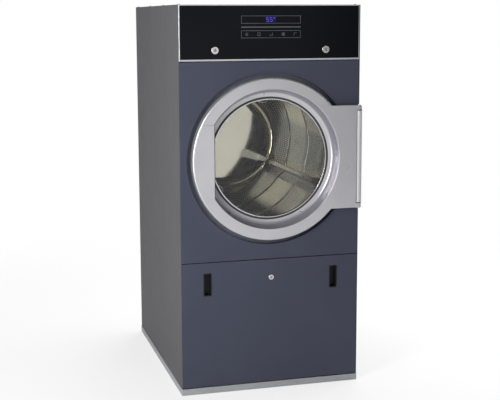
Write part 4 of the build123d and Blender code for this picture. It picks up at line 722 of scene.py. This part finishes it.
@dataclass
class Drum(Assembly):
    """Drum, its lifters and what carries and drives it. Sizes in metres, radii about the drum's axis."""

    finishes = {
        DRUM_STEEL: ("drum_shell",),
        LIFTER_STEEL: ("drum_lifters",),
        ZINC: ("drum_spider", "drum_shaft", "drum_bearings", "motor_pulley"),
        CAST_IRON: ("bearing_housing", "drum_pulley"),
        MOTOR_PAINT: ("drive_motor", "blower_motor"),
        RUBBER: ("drive_belt",),
        GALVANISED: ("blower_housing", "blower_wheel"),
        BRIGHT_STEEL: ("heater_elements",),
    }

    wall_sheet: float = 0.0015
    step_radius: float = 0.244
    step_rise: float = 0.012
    shoulder: float = 0.030
    dish_depth: float = 0.0090
    dish_start: float = 0.08
    dish_rings: int = 8
    shoulder_points: int = 10
    holes_inner: float = 0.268
    holes_outer: float = 0.334
    hole_rows: int = 6
    hole_columns: int = 172
    hole_radius: float = 0.0029
    bead_depth: float = 0.100
    bead_half: float = 0.009
    bead_height: float = 0.004
    bead_points: int = 9
    bead_columns: int = 180

    def wall_profile(self, back: float, edge: float) -> np.ndarray:
        """Radius, front depth and back depth of the wall from its middle out to its edge.

        The middle is dished by a parabola, the step's shoulder is a quarter of an ellipse, and the rest is flat.

        Args:
            back: Depth of the wall's back.
            edge: Outer radius.

        Returns:
            One row a ring.
        """
        flat, top, sheet = back - self.wall_sheet, back - self.wall_sheet - self.step_rise, self.wall_sheet
        reach = np.linspace(self.dish_start, 1.0, self.dish_rings)
        dish = top + self.dish_depth * (1.0 - reach ** 2)
        turn = np.linspace(0.0, math.pi / 2, self.shoulder_points)[1:]
        middle = self.step_radius - self.shoulder
        fall = top + self.step_rise * (1.0 - np.cos(turn))
        lines = np.linspace(self.holes_inner, self.holes_outer, self.hole_rows + 1)
        outer = np.concatenate([lines, [edge]])
        return np.concatenate([
            stacked(reach * middle, dish, dish + sheet),
            stacked(middle + self.shoulder * np.sin(turn), fall, fall + sheet),
            stacked(outer, flat, back),
        ])

    def back_wall(self, back: float, edge: float, height: float) -> Mesh:
        """Sheet-metal wall of the drum: rings turned about its axis, with a staggered band of punched holes.

        Each hole sits in a cell of the band between two rings. Eight points round the cell are joined to
        eight points round the hole, on both faces of the sheet, and the hole's wall joins the two faces.

        Args:
            back: Depth of the wall's back.
            edge: Outer radius.
            height: Height of the axis.

        Returns:
            Vertices and faces of the closed sheet.
        """
        profile = self.wall_profile(back, edge)
        rows, columns, halves = self.hole_rows, self.hole_columns, 2 * self.hole_columns
        first = len(profile) - rows - 2
        step = math.pi / columns
        row, column = np.arange(rows)[:, None], np.arange(columns)[None, :]
        start = (2 * column + row % 2) % halves
        middle = ((profile[first:first + rows, 0] + profile[first + 1:first + rows + 1, 0]) / 2)[:, None]
        compass = np.radians([-135, -90, -45, 0, 45, 90, 135, 180])
        hole_out = middle[..., None] + self.hole_radius * np.sin(compass)
        hole_turn = ((start + 1) * step)[..., None] + self.hole_radius * np.cos(compass) / middle[..., None]
        sheets = []
        for face in (1, 2):
            rings = around_axis(profile[:, :1], profile[:, face:face + 1], once_round(halves), height)
            level = profile[-1, face]
            sheets += [rings, around_axis(middle, level, start * step, height),
                       around_axis(hole_out, level, hole_turn, height)]
        turned_points, cell = len(profile) * halves, row * columns + column
        count = turned_points + rows * columns * (1 + len(compass))
        sides = turned_points + cell
        holes = (turned_points + rows * columns + cell * len(compass))[..., None] + np.arange(len(compass))
        low, high = (first + row) * halves, (first + row + 1) * halves
        second, third = (start + 1) % halves, (start + 2) % halves
        rim = stacked(low + start, low + second, low + third, np.roll(sides, -1, 1),
                      high + third, high + second, high + start, sides)
        onward = np.roll(holes, -1, -1)
        around = stacked(rim, np.roll(rim, -1, -1), onward, holes).reshape(-1, 4)
        turned = grid_faces(len(profile), halves, False, True).reshape(-1, halves, 4)
        solid = np.concatenate([turned[:first], turned[first + rows:]]).reshape(-1, 4)
        plane = np.concatenate([solid, around])
        bores = stacked(onward, holes, holes + count, onward + count).reshape(-1, 4)
        last = (len(profile) - 1) * halves + np.arange(halves)
        border = stacked(np.roll(last, -1), last, last + count, np.roll(last, -1) + count)
        quads = np.concatenate([plane[:, ::-1], plane + count, bores, border])
        centre = np.arange(halves)
        return np.concatenate(sheets), quads.tolist() + [centre.tolist(), (centre[::-1] + count).tolist()]

    def bead(self, radius: float, height: float) -> Mesh:
        """Rolled bead round the shell: a half-round section carried about the drum's axis.

        Args:
            radius: Inner radius of the shell.
            height: Height of the axis.

        Returns:
            Vertices and faces of the closed ring.
        """
        turn = np.linspace(0.0, math.pi, self.bead_points)[:, None]
        sunk = self.wall_sheet / 3
        points = around_axis(radius + sunk - (self.bead_height + sunk) * np.sin(turn),
                             self.bead_depth - self.bead_half * np.cos(turn), once_round(self.bead_columns), height)
        return points, grid_faces(self.bead_points, self.bead_columns, True, True).tolist()

    def build(self) -> None:
        """Dress the drum's solids and its drive, and add the punched back wall and the shell's bead."""
        super().build()
        low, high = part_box("drum_back")
        radius, height = (high.x - low.x) / 2, (low.z + high.z) / 2
        wall = piece("drum_back_wall", self.back_wall(high.y, radius, height), BACK_STEEL, "drum", True)
        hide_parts("drum_back")
        piece("drum_bead", self.bead(radius, height), BEAD_HIGHLIGHT_STEEL, "drum", True)


@dataclass
class ControlFascia(Assembly):
    """Black control panel with its printed outlines, keys and lit figures. Sizes in metres."""

    finishes = {
        ANODISED: ("fascia_frame",),
        BLACK_PANEL: ("fascia_panel",),
        BOARD: ("control_board",),
        NICKEL: ("lock_bezels",),
        ZINC: ("cam_lock_left", "cam_lock_right"),
    }

    proud: float = 0.00025
    sunk: float = 0.0002
    line: float = 0.0013
    frame_half: float = 0.132
    display: Pair = (1.6146, 1.647)
    keys: Pair = (1.5535, 1.585)
    bar_height: float = 1.5995
    bar_thickness: float = 0.0034
    key_pitch: float = 0.054
    key_half: float = 0.0062
    stack_step: float = 0.0052
    figure_left: float = -0.0215
    figure_low: float = 1.6215
    figure_size: Pair = (0.0115, 0.0195)
    figure_pitch: float = 0.0158
    figure_line: float = 0.0022
    figure_gap: float = 0.3
    degree_size: float = 0.36
    degree_line: float = 1.5
    window: Tuple[float, float, float, float] = (-0.025, 1.6192, 0.0225, 1.6434)
    window_proud: float = 0.0001

    def outline(self, low: float, high: float, half: float) -> List[List[float]]:
        """Four bars of a rectangular outline, as left, low, right and high edges.

        Args:
            low: Lower edge.
            high: Upper edge.
            half: Half the width.

        Returns:
            The bars' edges.
        """
        line = self.line
        return [[-half, low, half, low + line], [-half, high - line, half, high],
                [-half, low + line, line - half, high - line], [half - line, low + line, half, high - line]]

    def bars(self, front: float, edges: Sequence[Sequence[float]], proud: float) -> Mesh:
        """Raised bars on the panel's face at a depth, from their left, low, right and high edges."""
        left, low, right, high = np.asarray(edges, float).T
        return boxes(stacked(left, front - proud, low, right, front + self.sunk, high))

    def key_marks(self) -> List[List[float]]:
        """Plain marks of the five keys: a stack, a square, a step, a filled square and a corner.

        Returns:
            The bars' edges.
        """
        half, line, middle = self.key_half, self.line, sum(self.keys) / 2
        square = self.outline(-half, half, half)
        marks = (
            [[-half, level - half, half, level - half + line] for level in self.stack_step * np.arange(3)],
            square,
            [[-half, -half, half, line - half], [-half, line - half, line - half, 0.0],
             [half - line, line - half, half, half]],
            square + [[-half / 2, -half / 2, half / 2, half / 2]],
            [[-half, half - line, half, half], [-half, -half, line - half, half - line]],
        )
        places = self.key_pitch * np.arange(-2, 3)
        return [[place + left, middle + low, place + right, middle + high]
                for place, mark in zip(places, marks) for left, low, right, high in mark]

    def figures(self) -> List[List[float]]:
        """Lit segments of two plain figures and a degree sign.

        Returns:
            The segments' edges.
        """
        width, height = self.figure_size
        line, gap = self.figure_line, self.figure_line * self.figure_gap
        level = [(gap, base, width - gap, base + line) for base in (0.0, (height - line) / 2, height - line)]
        upright = [(width - line, line / 2 + gap, width, height / 2 - gap),
                   (0.0, height / 2 + gap, line, height - line / 2 - gap)]
        low, top = self.figure_low, self.figure_low + height
        first, second, start = self.figure_left + self.figure_pitch * np.arange(3)
        lit = [[left + a, low + b, left + c, low + d] for left in (first, second) for a, b, c, d in level + upright]
        end, base, thin = start + height * self.degree_size, top - height * self.degree_size, line / self.degree_line
        lit += [[start, base, end, base + thin], [start, top - thin, end, top],
                [start, base, start + thin, top], [end - thin, base, end, top]]
        return lit

    def build(self) -> None:
        """Dress the fascia's solids and print its outlines, marks and figures."""
        super().build()
        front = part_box("fascia_panel")[0].y
        half = self.frame_half
        printed = self.outline(*self.display, half) + self.outline(*self.keys, half) + self.key_marks()
        printed += [[-half, self.bar_height - self.bar_thickness / 2, half, self.bar_height + self.bar_thickness / 2]]
        piece("fascia_print", self.bars(front, printed, self.proud), INK, "fascia")
        piece("display_window", self.bars(front, [self.window], self.window_proud), WINDOW_INK, "fascia")
        piece("display_figures", self.bars(front, self.figures(), self.proud), LIT, "fascia")


@dataclass
class LintDrawer(Assembly):
    """Lower front with its pulls and lock, and the lint drawer behind it. Sizes in metres."""

    finishes = {
        FRONT_PAINT: ("drawer_front",),
        GALVANISED: ("drawer_frame",),
        BRIGHT_STEEL: ("lint_screen",),
        BLACK_NYLON: ("pull_cup_left", "pull_cup_right"),
        NICKEL: ("drawer_lock_bezel",),
        ZINC: ("drawer_lock",),
    }

    wire: float = 0.0008
    wire_pitch: float = 0.006
    wire_margin: float = 0.004

    def mesh(self, low: Vector, high: Vector) -> Mesh:
        """Lint mesh on the pierced plate: two layers of straight wires that cross.

        The pitch is drawn coarser than a real lint mesh, so that it shows.

        Args:
            low: Lowest corner of the plate.
            high: Highest corner of the plate.

        Returns:
            A mesh of closed wires.
        """
        left, right = low.x + self.wire_margin, high.x - self.wire_margin
        near, far = low.y + self.wire_margin, high.y - self.wire_margin
        across, along = np.arange(left, right, self.wire_pitch), np.arange(near, far, self.wire_pitch)
        level, wire = high.z, self.wire
        first = stacked(across, near, level, across + wire, far, level + wire)
        second = stacked(left, along, level + wire, right, along + wire, level + 2 * wire)
        return boxes(np.concatenate([first, second]))

    def build(self) -> None:
        """Dress the drawer's solids and lay the mesh on its plate."""
        super().build()
        piece("lint_mesh", self.mesh(*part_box("lint_screen")), BRIGHT_STEEL, "lint_drawer")


@dataclass(frozen=True)
class Card:
    """Glowing sheet of the studio that only mirrors and glass see, and that fades to white.

    A fade is an axis, the place on it where the card's colour is gone and the place where it is full.
    A flag is a card that only the sharp reflection in the clear pane sees, so that the floor doesn't
    veil the drum, and it fades to nothing.
    """

    name: str
    colour: str
    fades: Tuple[Fade, ...]
    corner: Point
    first: Point
    second: Point
    is_flag: bool = False

    def material(self) -> bpy.types.Material:
        """Make the card's material.

        Returns:
            A material that glows where the card is seen.
        """
        made = bpy.data.materials.new(self.name)
        nodes = Nodes.fresh(made)
        axes, colour = nodes.add("ShaderNodeSeparateXYZ", {0: nodes.place}).outputs, linear(self.colour)
        share = nodes.fold("MULTIPLY", (nodes.ramp(axes[axis], *ends, smooth=True) for axis, *ends in self.fades))
        if self.is_flag:
            ray = nodes.add("ShaderNodeLightPath").outputs
            sharp = nodes.number("MULTIPLY", ray["Is Singular Ray"], ray["Is Reflection Ray"])
            clear = nodes.add("ShaderNodeBsdfTransparent").outputs[0]
            surface = nodes.either(nodes.number("MULTIPLY", sharp, share), clear, nodes.glow(colour))
        else:
            surface = nodes.glow(nodes.blend(share, WHITE, colour))
        nodes.add("ShaderNodeOutputMaterial", {"Surface": surface})
        return made


@dataclass(frozen=True)
class Lamp:
    """Soft lamp: where it hangs, where it is turned to, its sides in metres and its power in watts."""

    name: str
    place: Point
    aim: Point
    width: float
    height: float
    power: float


@dataclass
class Studio:
    """Plain pale studio: floor, cards, white surroundings, soft lamps and the camera."""

    focal_px: float = 1076.8
    shift: float = -0.03
    roll_deg: float = -0.18
    pitch_deg: float = 8.77
    yaw_deg: float = 15.50
    eye_mm: Point = (-1328.0, -4963.0, 1634.0)
    floor_half: float = 30.0
    floor_drop: float = 0.0004
    floor_fade: Pair = (1.0, 3.4)
    floor_white: float = 0.72
    sheet_points: int = 9
    ambient: float = 0.18
    cards: Tuple[Card, ...] = (
        Card("overhead_card", "#2c2c34", ((2, 0.0, 4.0),),
             (-8.0, -8.0, 4.8), (17.0, 0.0, 0.0), (0.0, 17.0, 0.0)),
        Card("front_card", "#2c2c34", ((2, 1.7, 2.5), (0, -0.3, 0.5)),
             (-8.0, -7.6, 1.6), (17.0, 0.0, 0.0), (0.0, 0.0, 3.18)),
        Card("left_card", "#ccd2de", ((2, 2.0, 1.6), (0, -0.3, -0.4)),
             (-8.0, -4.85, 0.0), (7.8, 0.0, 0.0), (0.0, 0.0, 2.1)),
        Card("right_card", "#4c4c52", ((0, 1.45, 2.05),),
             (1.4, -4.9, 0.0), (7.0, 1.6, 0.0), (0.0, 0.0, 4.78)),
        Card("pane_flag", "#55555c", ((0, 0.2, 0.55), (0, 1.45, 1.0), (2, 1.5, 1.15)),
             (0.2, -4.0, 0.0), (1.3, 0.0, 0.0), (0.0, 0.0, 1.5), is_flag=True),
    )
    lamps: Tuple[Lamp, ...] = (
        Lamp("key", (-1.95, -2.1, 1.5), (0.0, -0.5, 1.1), 0.9, 2.1, 71.0),
        Lamp("side", (3.4, 0.9, 2.2), (0.4, 0.0, 0.9), 2.4, 2.4, 95.0),
        Lamp("back", (1.8, 3.4, 2.4), (0.0, 0.4, 0.8), 2.4, 2.4, 90.0),
        Lamp("over", (0.05, 0.6, 4.0), (0.05, 0.6, 0.0), 0.9, 1.6, 45.0),
    )

    def sheet(self, name: str, corner: Point, first: Point, second: Point,
              material: bpy.types.Material) -> bpy.types.Object:
        """Stretch a flat grid of the studio from a corner along two sides.

        Args:
            name: Name of the sheet.
            corner: Where it starts.
            first: One side.
            second: The other side.
            material: Its material.

        Returns:
            The new object.
        """
        count = self.sheet_points
        share = np.linspace(0.0, 1.0, count)
        along, across = np.meshgrid(share, share, indexing="ij")
        points = np.array(corner) + along[..., None] * np.array(first) + across[..., None] * np.array(second)
        data = bpy.data.meshes.new(name)
        data.from_pydata(points.reshape(-1, 3).tolist(), [], grid_faces(count, count, False, False).tolist())
        data.materials.append(material)
        made = bpy.data.objects.new(name, data)
        bpy.context.scene.collection.objects.link(made)
        return made

    def lay_floor(self) -> None:
        """Lay the pale floor, which keeps the shadow near the dryer and passes into white further out."""
        half, paint = self.floor_half, FLOOR_PAINT.material()
        self.sheet("studio_floor", (-half, -half, -self.floor_drop), (0.0, 2 * half, 0.0), (2 * half, 0.0, 0.0), paint)
        nodes = Nodes(paint.node_tree)
        output = next(item for item in nodes.tree.nodes if item.bl_idname == "ShaderNodeOutputMaterial")
        surface = output.inputs["Surface"]
        away = nodes.vector("LENGTH", nodes.place)
        share = nodes.ramp(away, *self.floor_fade, self.floor_white, 1.0, smooth=True)
        white = nodes.number("MULTIPLY", share, nodes.seen())
        nodes.tree.links.new(nodes.either(white, surface.links[0].from_socket, nodes.glow(WHITE)), surface)

    def hang_cards(self) -> None:
        """Hang the cards, out of sight of the eye and of matt surfaces."""
        for card in self.cards:
            made = self.sheet(card.name, card.corner, card.first, card.second, card.material())
            made.visible_camera = made.visible_diffuse = made.visible_shadow = False

    def surround(self) -> None:
        """White surroundings for what the eye sees, mirrors and glass, with a plain level of soft light."""
        world = bpy.data.worlds.new("studio")
        bpy.context.scene.world = world
        nodes = Nodes.fresh(world)
        soft, white = (nodes.add("ShaderNodeBackground", {"Color": WHITE, "Strength": strength}).outputs[0]
                       for strength in (self.ambient, 1.0))
        nodes.add("ShaderNodeOutputWorld", {"Surface": nodes.either(nodes.seen(), soft, white)})

    def light(self) -> None:
        """Hang the soft lamps, each turned towards its aim."""
        for lamp in self.lamps:
            data = bpy.data.lights.new(lamp.name, "AREA")
            data.shape, data.size, data.size_y, data.energy = "RECTANGLE", lamp.width, lamp.height, lamp.power
            made = bpy.data.objects.new(lamp.name, data)
            made.location = lamp.place
            made.rotation_euler = (Vector(lamp.aim) - Vector(lamp.place)).to_track_quat("-Z", "Y").to_euler()
            bpy.context.scene.collection.objects.link(made)

    def camera(self) -> None:
        """Stand the camera where the photograph was taken: turned by yaw, tipped by pitch and rolled."""
        yaw, pitch, roll = (math.radians(angle) for angle in (self.yaw_deg, self.pitch_deg, self.roll_deg))
        turned, tipped, rolled = (Matrix.Rotation(angle, 4, axis) for angle, axis in (
            (-yaw, "Z"), (math.pi / 2 - pitch, "X"), (roll, "Z")))
        data = bpy.data.cameras.new("camera")
        data.sensor_width = SENSOR_MM
        data.lens = self.focal_px * SENSOR_MM / IMAGE_WIDTH
        data.shift_y = self.shift
        made = bpy.data.objects.new("camera", data)
        made.matrix_world = Matrix.Translation(Vector(self.eye_mm) * MM) @ turned @ tipped @ rolled
        bpy.context.scene.collection.objects.link(made)
        bpy.context.scene.camera = made

    def build(self) -> None:
        """Build the whole studio."""
        bpy.context.scene.view_settings.view_transform = "Standard"
        self.lay_floor()
        self.hang_cards()
        self.surround()
        self.light()
        self.camera()
        LOG.info("studio built")


def main() -> None:
    """Load the frame, dress each sub-assembly in order and build the studio."""
    logging.basicConfig(level=logging.INFO, format="%(name)s: %(message)s")
    for left_over in list(bpy.data.objects):
        bpy.data.objects.remove(left_over)
    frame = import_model()
    for kind in (Cabinet, Door, Drum, ControlFascia, LintDrawer):
        kind(frame).build()
    Studio().build()


if __name__ == "__main__":
    main()
